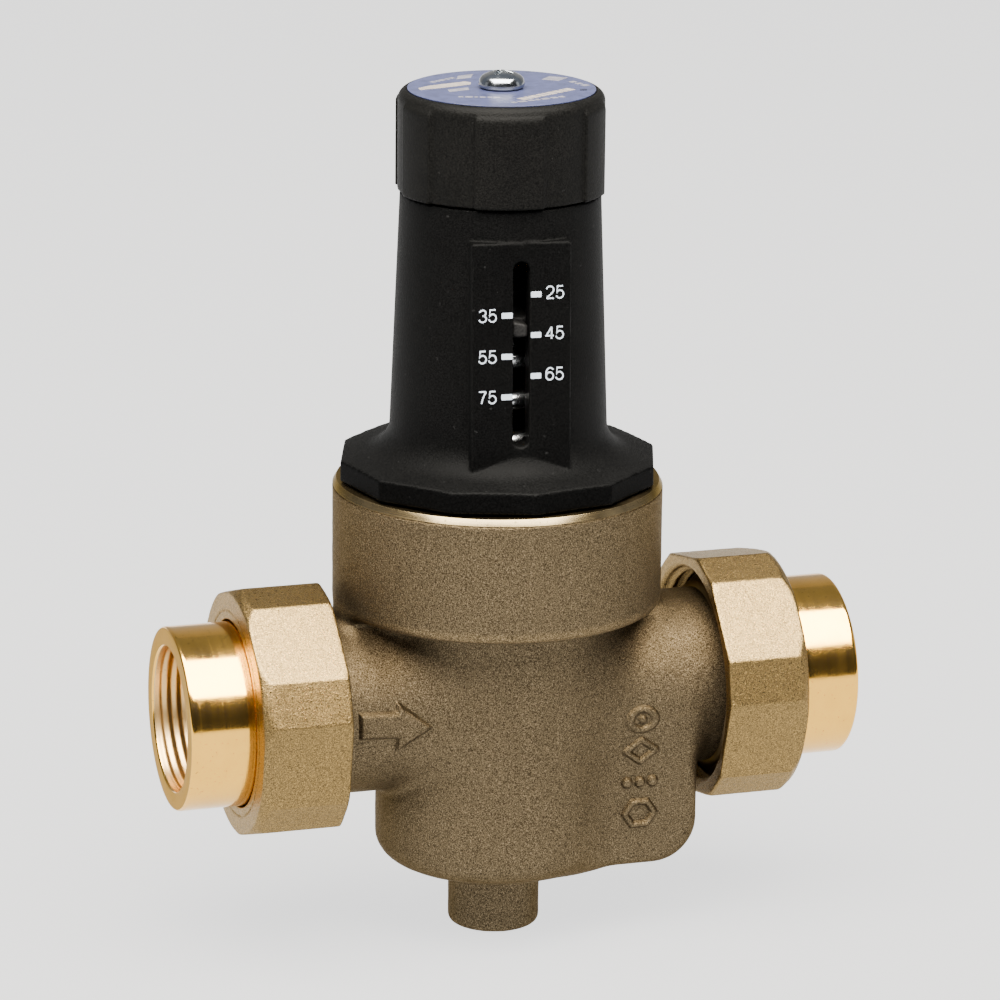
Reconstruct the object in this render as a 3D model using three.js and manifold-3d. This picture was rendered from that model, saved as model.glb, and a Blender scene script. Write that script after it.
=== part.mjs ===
// Water pressure regulator (pressure reducing valve) with a union at each end.
// A bronze casting carries a plastic spring cage with a reading slot; a knob turns a
// left-hand spindle, which drives an indicator nut down on the range spring. The spring
// pushes a diaphragm and a balanced plunger, whose disc closes upwards on a seat.
// Millimetres, +Z up the cage, +X the flow. The origin is where the cage's axis meets the pipe's.
import * as THREE from "three";
import { mergeVertices } from "three/addons/utils/BufferGeometryUtils.js";
import Module from "manifold-3d";

const wasm = await Module();
wasm.setup();

// ---------- driving dimensions ----------
const SEG = 36;                 // facets of a large round face
const SEG_S = 24;               // facets of a small round face

// casting
const BELL_R = 30.5, BELL_Z0 = 18.1, BELL_Z1 = 42.1;
const BARREL_R = 22.4, BARREL_Z0 = -31.75, BARREL_FILLET = 5;
const BOSS_R = 8.6, BOSS_Z0 = -45.1;
const NECK_R = 16.5, COLLAR_R = 18.9, COLLAR_L = 6.5;
const IN_END = -42, OUT_END = 45.6;      // the two ends of the casting along X
const CHEST_X = 35.3, CHEST_Y = 15.8, CHEST_R = 8.5;   // outlet chest under the outlet neck
const PORT_R = 11.5;
const CAGE_THREAD_R = 27.5, DIA_LEDGE_Z = 30, DIA_CHAMBER_R = 22, DIA_CHAMBER_Z = 24.5;
const LAND_R = 14, LAND_Z = 15, ANNULUS_R = 17, SEAT_LAND_R = 12.2;
const SEAT_LAND_Z0 = -13, SEAT_LAND_Z1 = -6.5, CHAMBER_Z0 = -27.75;

// spring cage
const CAGE_YAW = -5.7;          // degrees, the way the reading slot has ended up facing
const FLANGE_TURN = 2;          // degrees between the pad and the middle of a flange side
const FLANGE_R = 29.6, FLANGE_Z0 = 42.15, FLANGE_Z1 = 46.25;
const CAGE_FOOT_R = 20.0, CAGE_FOOT_Z = 51.5, CAGE_TOP_R = 18.3, CAGE_TOP_Z = 95.35;
const CAGE_IN_R = 15.8, CAGE_ROOF_Z0 = 104, CAGE_ROOF_Z1 = 108, CAGE_NECK_R = 17.3;
const PAD_HALF = 9.1, PAD_TOP_N = 18.85, PAD_FOOT_N = 20.15, PAD_Z0 = 46.8, PAD_Z1 = 89.7;
const SLOT_HALF = 1.55, SLOT_Z0 = 52.3, SLOT_Z1 = 86.25;

// knob
const KNOB_R = 18.9, KNOB_PAD_R = 19.3, KNOB_Z0 = 95.65, KNOB_Z1 = 114.1, KNOB_ROUND = 1.9;
const KNOB_YAW = -102.3, PAD_WIDE = 39, PAD_NARROW = 26;
const LABEL_R = 17.05, LABEL_Z0 = 113.75, LABEL_Z1 = 114.15;
const SCREW_HEAD_R = 4.35, SCREW_TOP_Z = 117.4;

// adjustment
const SPINDLE_R = 4.95, SPINDLE_Z0 = 54;
const NUT_Z0 = 72.25, NUT_Z1 = 75.2, NUT_R = 15.2;
const WIRE_R = 1.75, COIL_R = 11.45, SPRING_Z0 = 34.3, SPRING_Z1 = 72.15, END_PITCH = 3.7;

// unions
const TAIL_R = 17, TAIL_L = 18.45, TAIL_FLANGE_R = 18.6, TAIL_FLANGE_L = 3;
const GASKET_L = 2, TAIL_BORE_R = 11, SOCKET_R = 13.2, SOCKET_L = 14;
const NUT_VERTEX_R = 23.9, NUT_L = 16, NUT_BACK = 7.5, LONG_HALF = 19.3, NUT_BORE_R = 19.3;

// ---------- solids ----------
const rad = THREE.MathUtils.degToRad;

// Turns a three.js geometry into a closed solid, facing outwards.
function solid(geometry) {
  const g = (geometry.index ? geometry.toNonIndexed() : geometry.clone());
  g.deleteAttribute("normal");
  g.deleteAttribute("uv");
  const m = mergeVertices(g, 1e-4);
  const idx = m.index.array, tri = [];
  for (let i = 0; i < idx.length; i += 3) {
    const [a, b, c] = [idx[i], idx[i + 1], idx[i + 2]];
    if (a !== b && b !== c && a !== c) tri.push(a, b, c);
  }
  const make = (t) => new wasm.Manifold(new wasm.Mesh({
    numProp: 3,
    vertProperties: new Float32Array(m.attributes.position.array),
    triVerts: new Uint32Array(t),
  }));
  let s = make(tri);
  if (s.volume() < 0) {
    for (let i = 0; i < tri.length; i += 3) [tri[i + 1], tri[i + 2]] = [tri[i + 2], tri[i + 1]];
    s = make(tri);
  }
  return s;
}
function geometryOf(s) {
  const m = s.getMesh(), n = m.numProp, v = new Float32Array(m.numVert * 3);
  for (let i = 0; i < m.numVert; i++) v.set(m.vertProperties.subarray(i * n, i * n + 3), i * 3);
  const g = new THREE.BufferGeometry();
  g.setAttribute("position", new THREE.BufferAttribute(v, 3));
  g.setIndex(new THREE.BufferAttribute(new Uint32Array(m.triVerts), 1));
  g.computeVertexNormals();
  return g;
}
const all = (list) => list.reduce((a, b) => a.add(b));

// A profile of [radius, height] turned about Z, or about X with height along X.
function turned(profile, segments = SEG, axis = "z") {
  const closed = profile[0][0] > 1e-6 || profile[profile.length - 1][0] > 1e-6;
  const pts = profile.map(([r, h]) => new THREE.Vector2(r, h));
  if (closed) pts.push(pts[0].clone());
  const g = new THREE.LatheGeometry(pts, segments);
  if (axis === "z") g.rotateX(Math.PI / 2);
  else g.rotateZ(-Math.PI / 2);
  return solid(g);
}
const rod = (r, a, b, segments = SEG, axis = "z") =>
  turned([[0, a], [r, a], [r, b], [0, b]], segments, axis);
const tube = (ri, ro, a, b, segments = SEG, axis = "z") =>
  turned([[ri, a], [ro, a], [ro, b], [ri, b]], segments, axis);
// A round hole whose facets stay outside radius r.
const hole = (r, a, b, segments = SEG, axis = "z") =>
  rod(r / Math.cos(Math.PI / segments), a, b, segments, axis);
function box(x0, x1, y0, y1, z0, z1) {
  const g = new THREE.BoxGeometry(x1 - x0, y1 - y0, z1 - z0);
  g.translate((x0 + x1) / 2, (y0 + y1) / 2, (z0 + z1) / 2);
  return solid(g);
}
// An outline in X,Z pushed through from y0 to y1.
function plateXZ(points, y0, y1) {
  const g = new THREE.ExtrudeGeometry(new THREE.Shape(points.map(([x, z]) => new THREE.Vector2(x, z))),
    { depth: y1 - y0, bevelEnabled: false });
  g.rotateX(Math.PI / 2);          // shape y becomes z, depth runs along -y
  g.translate(0, y1, 0);
  return solid(g);
}
// An outline in X,Y raised from z0 to z1.
function plateXY(points, z0, z1) {
  const g = new THREE.ExtrudeGeometry(new THREE.Shape(points.map(([x, y]) => new THREE.Vector2(x, y))),
    { depth: z1 - z0, bevelEnabled: false });
  g.translate(0, 0, z0);
  return solid(g);
}
function turnedAbout(s, axis, degrees) {
  const g = geometryOf(s);
  if (axis === "z") g.rotateZ(rad(degrees));
  if (axis === "x") g.rotateX(rad(degrees));
  return solid(g);
}
const polar = (r, deg) => [r * Math.cos(rad(deg)), r * Math.sin(rad(deg))];

// ---------- materials ----------
const M = (color, roughness, metalness) => new THREE.MeshStandardMaterial({ color, roughness, metalness });
const castBronze = M(0x8a7752, 0.62, 0.85);
const forgedBrass = M(0xc09a5e, 0.5, 0.9);
const turnedBrass = M(0xd9b46c, 0.25, 1.0);
const blackPlastic = M(0x1d1b1a, 0.6, 0.0);
const greyPlastic = M(0x4a4a4a, 0.55, 0.0);
const labelBlue = M(0x4a62b8, 0.35, 0.1);
const zincSteel = M(0xc9ccd0, 0.22, 1.0);
const springSteel = M(0x9b9ea2, 0.3, 1.0);
const stainless = M(0xb6b8ba, 0.3, 1.0);
const acetal = M(0xe4e2da, 0.45, 0.0);
const rubber = M(0x1a1a1a, 0.8, 0.0);
const fibre = M(0x3b3f3a, 0.8, 0.0);

const root = new THREE.Group();
function add(name, s, material, parent = root) {
  const mesh = new THREE.Mesh(geometryOf(s), material);
  mesh.name = name;
  parent.add(mesh);
  return mesh;
}

// ---------- the casting ----------
{
  const f = BARREL_FILLET;
  const barrel = turned([
    [0, BARREL_Z0], [BARREL_R - f, BARREL_Z0], [BARREL_R - f * 0.5, BARREL_Z0 + f * 0.134],
    [BARREL_R - f * 0.134, BARREL_Z0 + f * 0.5], [BARREL_R, BARREL_Z0 + f], [BARREL_R, 24], [0, 24]]);
  const boss = turned([[0, BOSS_Z0], [BOSS_R - 1.2, BOSS_Z0], [BOSS_R, BOSS_Z0 + 1.2], [BOSS_R, -31], [0, -31]], SEG_S);
  const bell = turned([
    [0, BELL_Z0], [BELL_R - 1.2, BELL_Z0], [BELL_R - 0.35, BELL_Z0 + 0.35], [BELL_R, BELL_Z0 + 1.2],
    [BELL_R, BELL_Z1 - 1.15], [BELL_R - 0.9, BELL_Z1], [0, BELL_Z1]]);
  const neck = rod(NECK_R, IN_END + COLLAR_L, OUT_END - COLLAR_L, SEG, "x");
  const collarIn = turned([[0, IN_END], [COLLAR_R - 1, IN_END], [COLLAR_R, IN_END + 1],
    [COLLAR_R, IN_END + COLLAR_L], [0, IN_END + COLLAR_L]], SEG, "x");
  const collarOut = turned([[0, OUT_END - COLLAR_L], [COLLAR_R, OUT_END - COLLAR_L], [COLLAR_R, OUT_END - 1],
    [COLLAR_R - 1, OUT_END], [0, OUT_END]], SEG, "x");
  const corner = [];
  for (let a = 270; a <= 360; a += 18)
    corner.push([CHEST_X - CHEST_R + CHEST_R * Math.cos(rad(a)), BARREL_Z0 + CHEST_R + CHEST_R * Math.sin(rad(a))]);
  const chest = plateXZ([[0, 0], [0, BARREL_Z0], ...corner, [CHEST_X, 0]], -CHEST_Y, CHEST_Y);
  // flow arrow, raised on the front of the inlet neck
  const arrow = plateXZ([[-30.8, 3.2], [-30.8, -1.35], [-23.6, -1.75], [-23.6, -4.4], [-17.9, 0], [-23.6, 4.6], [-23.6, 2.9]], -17.4, -14.6);
  let body = all([barrel, boss, bell, neck, collarIn, collarOut, chest, arrow]);
  const cuts = [
    hole(CAGE_THREAD_R, DIA_LEDGE_Z, BELL_Z1 + 1),
    hole(DIA_CHAMBER_R, DIA_CHAMBER_Z, DIA_LEDGE_Z + 0.1),
    hole(LAND_R, LAND_Z - 0.1, DIA_CHAMBER_Z + 0.1),
    hole(ANNULUS_R, SEAT_LAND_Z1, LAND_Z),
    hole(SEAT_LAND_R, SEAT_LAND_Z0 - 0.1, SEAT_LAND_Z1 + 0.1),
    hole(ANNULUS_R, CHAMBER_Z0, SEAT_LAND_Z0),
    hole(PORT_R, IN_END - 1, -13.5, SEG_S, "x"),
    hole(PORT_R, 25, OUT_END + 1, SEG_S, "x"),
    box(18.9, 30.8, -11, 11, CHAMBER_Z0, 9),
    box(5, 30.8, -11, 11, CHAMBER_Z0, SEAT_LAND_Z0),
    rod(1, 8.5, DIA_CHAMBER_Z + 0.5, 8).translate([19.9, 0, 0]),
  ];
  for (const c of cuts) body = body.subtract(c);
  add("valve_body", body, castBronze);
}

// ---------- the spring cage ----------
const cage = new THREE.Group();
cage.rotation.z = rad(CAGE_YAW);
root.add(cage);
{
  const flange = [];
  for (let k = 0; k < 12; k++) flange.push(polar(FLANGE_R, FLANGE_TURN - 90 + 30 * k));
  const outer = turned([
    [0, 33.3], [26.2, 33.3], [27.1, 34.2], [27.1, FLANGE_Z0 + 0.5], [25.4, FLANGE_Z1], [25, 46.7], [23, 47.3],
    [21.4, 48.5], [20.4, 50.2], [CAGE_FOOT_R, CAGE_FOOT_Z], [CAGE_TOP_R, CAGE_TOP_Z], [CAGE_NECK_R, CAGE_TOP_Z],
    [CAGE_NECK_R, CAGE_ROOF_Z1 - 1], [CAGE_NECK_R - 1, CAGE_ROOF_Z1], [0, CAGE_ROOF_Z1]]);
  let s = outer.add(plateXY(flange, FLANGE_Z0, FLANGE_Z1));
  // flat pad for the scale, facing -Y of the cage
  const padG = new THREE.ExtrudeGeometry(new THREE.Shape([
    new THREE.Vector2(-16.4, PAD_Z0), new THREE.Vector2(-PAD_FOOT_N, PAD_Z0),
    new THREE.Vector2(-PAD_TOP_N, PAD_Z1), new THREE.Vector2(-16.4, PAD_Z1)]), { depth: 2 * PAD_HALF, bevelEnabled: false });
  // shape x -> y, shape y -> z, depth -> x
  padG.applyMatrix4(new THREE.Matrix4().set(0, 0, 1, -PAD_HALF, 1, 0, 0, 0, 0, 1, 0, 0, 0, 0, 0, 1));
  s = s.add(solid(padG));
  const inner = turned([
    [0, 33], [22.4, 33], [22.4, 37.5], [CAGE_IN_R, 45], [CAGE_IN_R, CAGE_ROOF_Z0], [0, CAGE_ROOF_Z0]]);
  s = s.subtract(inner);
  s = s.subtract(hole(5.3, CAGE_ROOF_Z0 - 1, CAGE_ROOF_Z1 + 1, SEG_S));
  const slot = [];
  for (let a = 0; a <= 180; a += 30) slot.push([SLOT_HALF * Math.cos(rad(a)), SLOT_Z1 - SLOT_HALF + SLOT_HALF * Math.sin(rad(a))]);
  for (let a = 180; a <= 360; a += 30) slot.push([SLOT_HALF * Math.cos(rad(a)), SLOT_Z0 + SLOT_HALF + SLOT_HALF * Math.sin(rad(a))]);
  s = s.subtract(plateXZ(slot, -22, -12));
  add("spring_cage", s, blackPlastic, cage);
}
add("cage_slip_ring", tube(22.6, 26.8, 32.25, 33.25, SEG), acetal);

// ---------- diaphragm ----------
add("diaphragm", turned([
  [3.3, 30.1], [14.6, 30.1], [16.0, 31.6], [18.2, 33.6], [20.4, 31.6], [21.8, 30.1], [26.7, 30.1],
  [26.7, 32.15], [22.1, 32.15], [20.7, 34.0], [18.2, 35.6], [15.5, 34.2], [14.4, 32.1], [3.3, 32.1]], 28), rubber);

// ---------- seat cartridge ----------
{
  let c = turned([
    [8.05, 26.3], [20.8, 26.3], [20.8, 24.6], [13.85, 24.6], [13.85, 21.0], [12.4, 21.0], [12.4, 18.6],
    [13.85, 18.6], [13.85, 15.2], [12.6, 15.2], [12.6, -6.3], [12.0, -6.3], [12.0, -8.4], [10.6, -8.4], [10.6, -10.6],
    [12.0, -10.6], [12.0, -12.4], [9.75, -12.4], [9.75, -6.3], [10.4, -6.3], [10.4, 12.5], [6.6, 12.5], [6.6, 13.9], [8.05, 13.9]], 30);
  for (let k = 0; k < 3; k++) {
    const w = turnedAbout(box(-14, 14, -3.6, 3.6, -3.5, 10.5), "z", 60 * k + 30);
    c = c.subtract(w);
  }
  add("seat_cartridge", c, acetal);
}
add("valve_seat", turned([
  [7.4, -6.4], [9.65, -6.4], [9.65, -12.2], [8.5, -12.2], [8.2, -12.6], [7.4, -12.6]], SEG_S), stainless);
const ringSection = (ri, ro, z0, z1) => {
  const c = 0.28 * (ro - ri), m = (z0 + z1) / 2;
  return [[ri + c, z0], [ro - c, z0], [ro, m], [ro - c, z1], [ri + c, z1], [ri, m]];
};
add("cartridge_upper_seal", turned(ringSection(12.7, 13.9, 18.75, 20.85), 20), rubber);
add("cartridge_lower_seal", turned(ringSection(10.9, 12.1, -10.5, -8.5), 20), rubber);
add("strainer_screen", tube(12.75, 13.3, -6.2, 14.8, 30), stainless);

// ---------- plunger: everything that lifts with the diaphragm ----------
add("plunger_stem", turned([
  [0, -22.6], [2.5, -22.6], [2.5, -14.95], [3.0, -14.95], [3.0, 14.0], [7.0, 14.0], [7.85, 14.6], [7.85, 17.0], [6.3, 17.0], [6.3, 19.6],
  [7.85, 19.6], [7.85, 22.0], [6.0, 23.0], [6.0, 27.9], [3.0, 27.9], [3.0, 42], [0, 42]], 20), turnedBrass);
add("diaphragm_lower_washer", tube(3.2, 13.4, 28.0, 30.0, 30), turnedBrass);
add("diaphragm_plate", turned([
  [3.2, 32.2], [14.2, 32.2], [14.2, 33.4], [13.4, 34.2], [9.3, 34.2], [9.3, 36.0], [8.6, 36.6], [3.2, 36.6]], 30), zincSteel);
{
  const hex = [];
  for (let k = 0; k < 6; k++) hex.push(polar(5.8, 60 * k));
  add("plunger_top_nut", plateXY(hex, 36.65, 40.9).subtract(hole(3.15, 36, 42, SEG_S)), zincSteel);
  const hexB = [];
  for (let k = 0; k < 6; k++) hexB.push(polar(4.8, 60 * k));
  add("disc_nut", plateXY(hexB, -22.4, -19.65).subtract(hole(2.65, -23, -19, SEG_S)), stainless);
}
add("plunger_seal", turned(ringSection(6.6, 8.0, 17.15, 19.45), 20), rubber);
add("disc_holder", turned([
  [2.65, -19.6], [9.4, -19.6], [10.2, -18.8], [10.2, -15.8], [9.25, -15.8], [9.25, -17.25], [2.65, -17.25]], SEG_S), turnedBrass);
add("seat_disc", tube(2.65, 9.15, -17.2, -15.0, SEG_S), rubber);

// ---------- range spring ----------
class SpringLine extends THREE.Curve {
  constructor() {
    super();
    const h = SPRING_Z1 - SPRING_Z0 - 2 * WIRE_R - 0.1;
    this.active = 3.465;
    this.turns = this.active + 2;
    this.pitch = (h - 2 * END_PITCH) / this.active;
  }
  getPoint(t, out = new THREE.Vector3()) {
    const n = t * this.turns, a = 2 * Math.PI * n + rad(98.7);
    let z = SPRING_Z0 + WIRE_R + 0.05;
    z += n < 1 ? n * END_PITCH : END_PITCH + (Math.min(n, this.turns - 1) - 1) * this.pitch;
    if (n > this.turns - 1) z += (n - this.turns + 1) * END_PITCH;
    return out.set(COIL_R * Math.cos(a), COIL_R * Math.sin(a), z);
  }
}
{
  const section = new THREE.Shape();
  for (let k = 0; k < 6; k++) {
    const [x, y] = polar(WIRE_R, 60 * k);
    k ? section.lineTo(x, y) : section.moveTo(x, y);
  }
  add("range_spring", solid(new THREE.ExtrudeGeometry(section, { steps: 80, bevelEnabled: false, extrudePath: new SpringLine() })), springSteel);
}

// ---------- indicator nut ----------
{
  let s = turned([
    [0, 64.2], [8.6, 64.2], [9.3, 64.9], [9.3, NUT_Z0], [NUT_R, NUT_Z0], [NUT_R, NUT_Z1], [8.4, NUT_Z1], [8.4, 78.4], [7.6, 79.2], [0, 79.2]], 30);
  s = s.add(box(-1.3, 1.3, -18.5, -14, NUT_Z0 + 0.05, NUT_Z1));
  s = s.subtract(hole(5.2, 60, 82, SEG_S));
  add("indicator_nut", s, greyPlastic, cage);
}

// ---------- knob and spindle ----------
const head = new THREE.Group();
head.rotation.z = rad(KNOB_YAW);
root.add(head);
{
  const q = KNOB_ROUND;
  let s = turned([
    [0, KNOB_Z0], [KNOB_R, KNOB_Z0], [KNOB_R, KNOB_Z1 - q], [KNOB_R - q * 0.293, KNOB_Z1 - q * 0.293], [KNOB_R - q * 0.9, KNOB_Z1], [0, KNOB_Z1]]);
  for (let k = 0; k < 6; k++) {
    const half = (k % 2 ? PAD_NARROW : PAD_WIDE) / 2, pts = [];
    for (let i = 0; i <= 4; i++) pts.push(polar(KNOB_PAD_R, 60 * k - half + (i * half) / 2));
    for (let i = 4; i >= 0; i--) pts.push(polar(18.2, 60 * k - half + (i * half) / 2));
    s = s.add(plateXY(pts, KNOB_Z0, KNOB_Z1 - q));
  }
  s = s.subtract(hole(17.65, KNOB_Z0 - 1, 110.2));
  s = s.subtract(hole(LABEL_R + 0.1, LABEL_Z0, KNOB_Z1 + 1));
  const socket = [];
  for (let k = 0; k < 6; k++) socket.push(polar(4.7, 60 * k));
  s = s.subtract(plateXY(socket, 110, 112.5));
  s = s.subtract(hole(2.2, 112, KNOB_Z1 + 1, SEG_S));
  add("adjusting_knob", s, blackPlastic, head);

  add("knob_label", tube(2.3, LABEL_R, LABEL_Z0 + 0.02, LABEL_Z1, SEG), labelBlue, head);

  let sc = turned([
    [0, 105.2], [1.5, 105.2], [1.95, 105.8], [1.95, LABEL_Z1 + 0.02], [SCREW_HEAD_R, LABEL_Z1 + 0.02],
    [SCREW_HEAD_R, LABEL_Z1 + 0.9], [3.9, 116.0], [2.8, 116.85], [1.4, 117.3], [0, SCREW_TOP_Z]], SEG_S);
  for (const a of [0, 90]) sc = sc.subtract(turnedAbout(box(-2.1, 2.1, -0.4, 0.4, 115.7, 118), "z", a));
  add("knob_screw", sc, zincSteel, head);

  let sp = turned([
    [0, SPINDLE_Z0], [4.1, SPINDLE_Z0], [SPINDLE_R, SPINDLE_Z0 + 0.9], [SPINDLE_R, 99], [4.2, 99.4], [4.2, 100], [8, 100], [8, 102.6], [5, 102.6], [5, 109.3], [0, 109.3]], SEG_S);
  const drive = [];
  for (let k = 0; k < 6; k++) drive.push(polar(4.5, 60 * k));
  sp = sp.add(plateXY(drive, 109, 112.3));
  sp = sp.subtract(hole(2.05, 104.6, 113, SEG_S));
  add("adjusting_spindle", sp, turnedBrass, head);
  add("thrust_washer", tube(5.15, 8.6, 102.7, 103.85, SEG_S), acetal, head);
}

// ---------- unions ----------
// A union built along +X from the casting's end at x = 0: gasket, tailpiece and nut.
function union(prefix, end, direction, hexAngle) {
  const g = new THREE.Group();
  g.position.x = end;
  if (direction < 0) g.rotation.z = Math.PI;
  root.add(g);
  const flange0 = GASKET_L + 0.05, flange1 = flange0 + TAIL_FLANGE_L, tip = GASKET_L + 0.05 + TAIL_L;
  add(`${prefix}_union_gasket`, tube(11.7, 18.4, 0.05, GASKET_L, SEG, "x"), fibre, g);
  add(`${prefix}_tailpiece`, turned([
    [TAIL_BORE_R, flange0], [TAIL_FLANGE_R, flange0], [TAIL_FLANGE_R, flange1], [TAIL_R, flange1], [TAIL_R, tip - 0.6],
    [TAIL_R - 0.6, tip], [SOCKET_R + 0.5, tip], [SOCKET_R, tip - 0.6], [SOCKET_R - SOCKET_L / 32, tip - SOCKET_L],
    [TAIL_BORE_R, tip - SOCKET_L - 1.2]], SEG, "x"), turnedBrass, g);
  // nut: a hexagon with its corners cut to narrow flats, coned at the front and eased at the back
  const pts = [];
  for (let k = 0; k < 6; k++) {
    pts.push(polar(NUT_VERTEX_R, 60 * k - LONG_HALF));
    pts.push(polar(NUT_VERTEX_R, 60 * k + LONG_HALF));
  }
  const bar = new THREE.ExtrudeGeometry(new THREE.Shape(pts.map(([x, y]) => new THREE.Vector2(x, y))), { depth: NUT_L, bevelEnabled: false });
  // shape x -> -y, shape y -> z, depth -> x
  bar.applyMatrix4(new THREE.Matrix4().set(0, 0, 1, -NUT_BACK, -1, 0, 0, 0, 0, 1, 0, 0, 0, 0, 0, 1));
  bar.rotateX(-rad(hexAngle) * 1);
  const front = NUT_L - NUT_BACK;
  let n = solid(bar).intersect(turned([
    [0, -NUT_BACK], [23.3, -NUT_BACK], [25, -NUT_BACK + 1.4], [25, front - 2.95], [22.4, front], [0, front]], SEG, "x"));
  n = n.subtract(turned([
    [0, -NUT_BACK - 1], [21.2, -NUT_BACK - 1], [20.9, -NUT_BACK], [NUT_BORE_R + 0.08, -NUT_BACK + 1.3], [NUT_BORE_R + 0.08, flange1 + 0.1], [0, flange1 + 0.1]], SEG, "x"));
  n = n.subtract(hole(TAIL_R + 0.3, flange1, front + 1, SEG, "x"));
  add(`${prefix}_union_nut`, n, forgedBrass, g);
}
// The angles put the widest flats where they stand on the real pair.
union("inlet", IN_END, -1, -11);
union("outlet", OUT_END, 1, -18);

export default root;
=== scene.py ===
# Water pressure regulator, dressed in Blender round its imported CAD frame.
# Lengths in this file are millimetres until they are written to a mesh.
import math

import bpy
import bmesh
import numpy as np
from mathutils import Matrix, Vector, noise


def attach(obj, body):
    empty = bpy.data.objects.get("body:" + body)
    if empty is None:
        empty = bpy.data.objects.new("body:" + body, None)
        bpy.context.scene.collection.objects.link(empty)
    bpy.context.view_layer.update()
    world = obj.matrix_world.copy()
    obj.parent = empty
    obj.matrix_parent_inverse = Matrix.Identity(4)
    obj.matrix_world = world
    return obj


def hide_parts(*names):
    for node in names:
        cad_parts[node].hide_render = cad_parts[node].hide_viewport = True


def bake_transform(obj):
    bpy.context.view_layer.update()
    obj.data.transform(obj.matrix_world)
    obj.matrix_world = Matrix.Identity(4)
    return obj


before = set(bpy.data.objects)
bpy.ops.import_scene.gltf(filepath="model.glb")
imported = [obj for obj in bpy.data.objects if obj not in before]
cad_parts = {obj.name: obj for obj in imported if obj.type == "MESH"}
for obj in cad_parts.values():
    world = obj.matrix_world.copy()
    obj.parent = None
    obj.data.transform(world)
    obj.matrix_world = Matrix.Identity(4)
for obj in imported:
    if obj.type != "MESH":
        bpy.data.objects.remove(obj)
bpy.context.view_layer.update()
MM = 0.001

# --------------------------------------------------------------------------
# camera
# --------------------------------------------------------------------------
AZ, EL = math.radians(17.649), math.radians(15.72)
target = Vector((0.5224, 0.0, 36.8714)) * MM
back = Vector((-math.sin(AZ) * math.cos(EL), -math.cos(AZ) * math.cos(EL), math.sin(EL)))
cam_data = bpy.data.cameras.new("camera")
cam_data.sensor_width = 36.0
cam_data.lens = 180.737
cam_data.clip_start = 0.01
cam_data.clip_end = 20
cam = bpy.data.objects.new("camera", cam_data)
bpy.context.scene.collection.objects.link(cam)
cam.location = target + back * 926.42 * MM
roll = 0.0107
right = (-back).cross(Vector((0, 0, 1))).normalized()
up = right.cross(-back).normalized()
r2 = right * math.cos(roll) + up * math.sin(roll)
u2 = up * math.cos(roll) - right * math.sin(roll)
cam.matrix_world = Matrix((
    (r2.x, u2.x, back.x, cam.location.x),
    (r2.y, u2.y, back.y, cam.location.y),
    (r2.z, u2.z, back.z, cam.location.z),
    (0, 0, 0, 1)))
bpy.context.scene.camera = cam

# --------------------------------------------------------------------------
# node materials
# --------------------------------------------------------------------------
def material(name):
    m = bpy.data.materials.new(name)
    m.use_nodes = True
    nt = m.node_tree
    nt.nodes.clear()
    out = nt.nodes.new("ShaderNodeOutputMaterial")
    bsdf = nt.nodes.new("ShaderNodeBsdfPrincipled")
    nt.links.new(bsdf.outputs[0], out.inputs[0])
    return m, nt, bsdf


def node(nt, kind, **values):
    n = nt.nodes.new(kind)
    for k, v in values.items():
        if hasattr(n, k) and k not in ("Scale",):
            setattr(n, k, v)
        else:
            n.inputs[k].default_value = v
    return n


def coords(nt, scale=(1, 1, 1)):
    tc = nt.nodes.new("ShaderNodeTexCoord")
    mp = nt.nodes.new("ShaderNodeMapping")
    mp.inputs["Scale"].default_value = scale
    nt.links.new(tc.outputs["Object"], mp.inputs["Vector"])
    return mp.outputs["Vector"]


def noise_of(nt, vector, scale, detail=2.0, rough=0.5, distortion=0.0):
    n = nt.nodes.new("ShaderNodeTexNoise")
    n.inputs["Scale"].default_value = scale
    n.inputs["Detail"].default_value = detail
    n.inputs["Roughness"].default_value = rough
    n.inputs["Distortion"].default_value = distortion
    nt.links.new(vector, n.inputs["Vector"])
    return n.outputs["Fac"]


def ramp(nt, fac, stops):
    r = nt.nodes.new("ShaderNodeValToRGB")
    e = r.color_ramp.elements
    e[0].position, e[0].color = stops[0][0], (*stops[0][1], 1)
    e[1].position, e[1].color = stops[-1][0], (*stops[-1][1], 1)
    for p, c in stops[1:-1]:
        x = e.new(p)
        x.color = (*c, 1)
    nt.links.new(fac, r.inputs[0])
    return r.outputs[0]


def grey(v):
    return (v, v, v)


def maprange(nt, fac, a, b, c, d, smooth=False):
    n = nt.nodes.new("ShaderNodeMapRange")
    if smooth:
        n.interpolation_type = "SMOOTHSTEP"
    n.inputs["From Min"].default_value = a
    n.inputs["From Max"].default_value = b
    n.inputs["To Min"].default_value = c
    n.inputs["To Max"].default_value = d
    nt.links.new(fac, n.inputs["Value"])
    return n.outputs["Result"]


def mix(nt, fac, a, b, mode="MIX"):
    n = nt.nodes.new("ShaderNodeMix")
    n.data_type = "RGBA"
    n.blend_type = mode
    for sock, v in ((n.inputs[0], fac), (n.inputs[6], a), (n.inputs[7], b)):
        if isinstance(v, (int, float)):
            sock.default_value = v
        elif isinstance(v, tuple):
            sock.default_value = (*v, 1)
        else:
            nt.links.new(v, sock)
    return n.outputs[2]


def bump(nt, height, strength, distance, normal=None):
    n = nt.nodes.new("ShaderNodeBump")
    n.inputs["Strength"].default_value = strength
    n.inputs["Distance"].default_value = distance
    nt.links.new(height, n.inputs["Height"])
    if normal is not None:
        nt.links.new(normal, n.inputs["Normal"])
    return n.outputs["Normal"]


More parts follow.
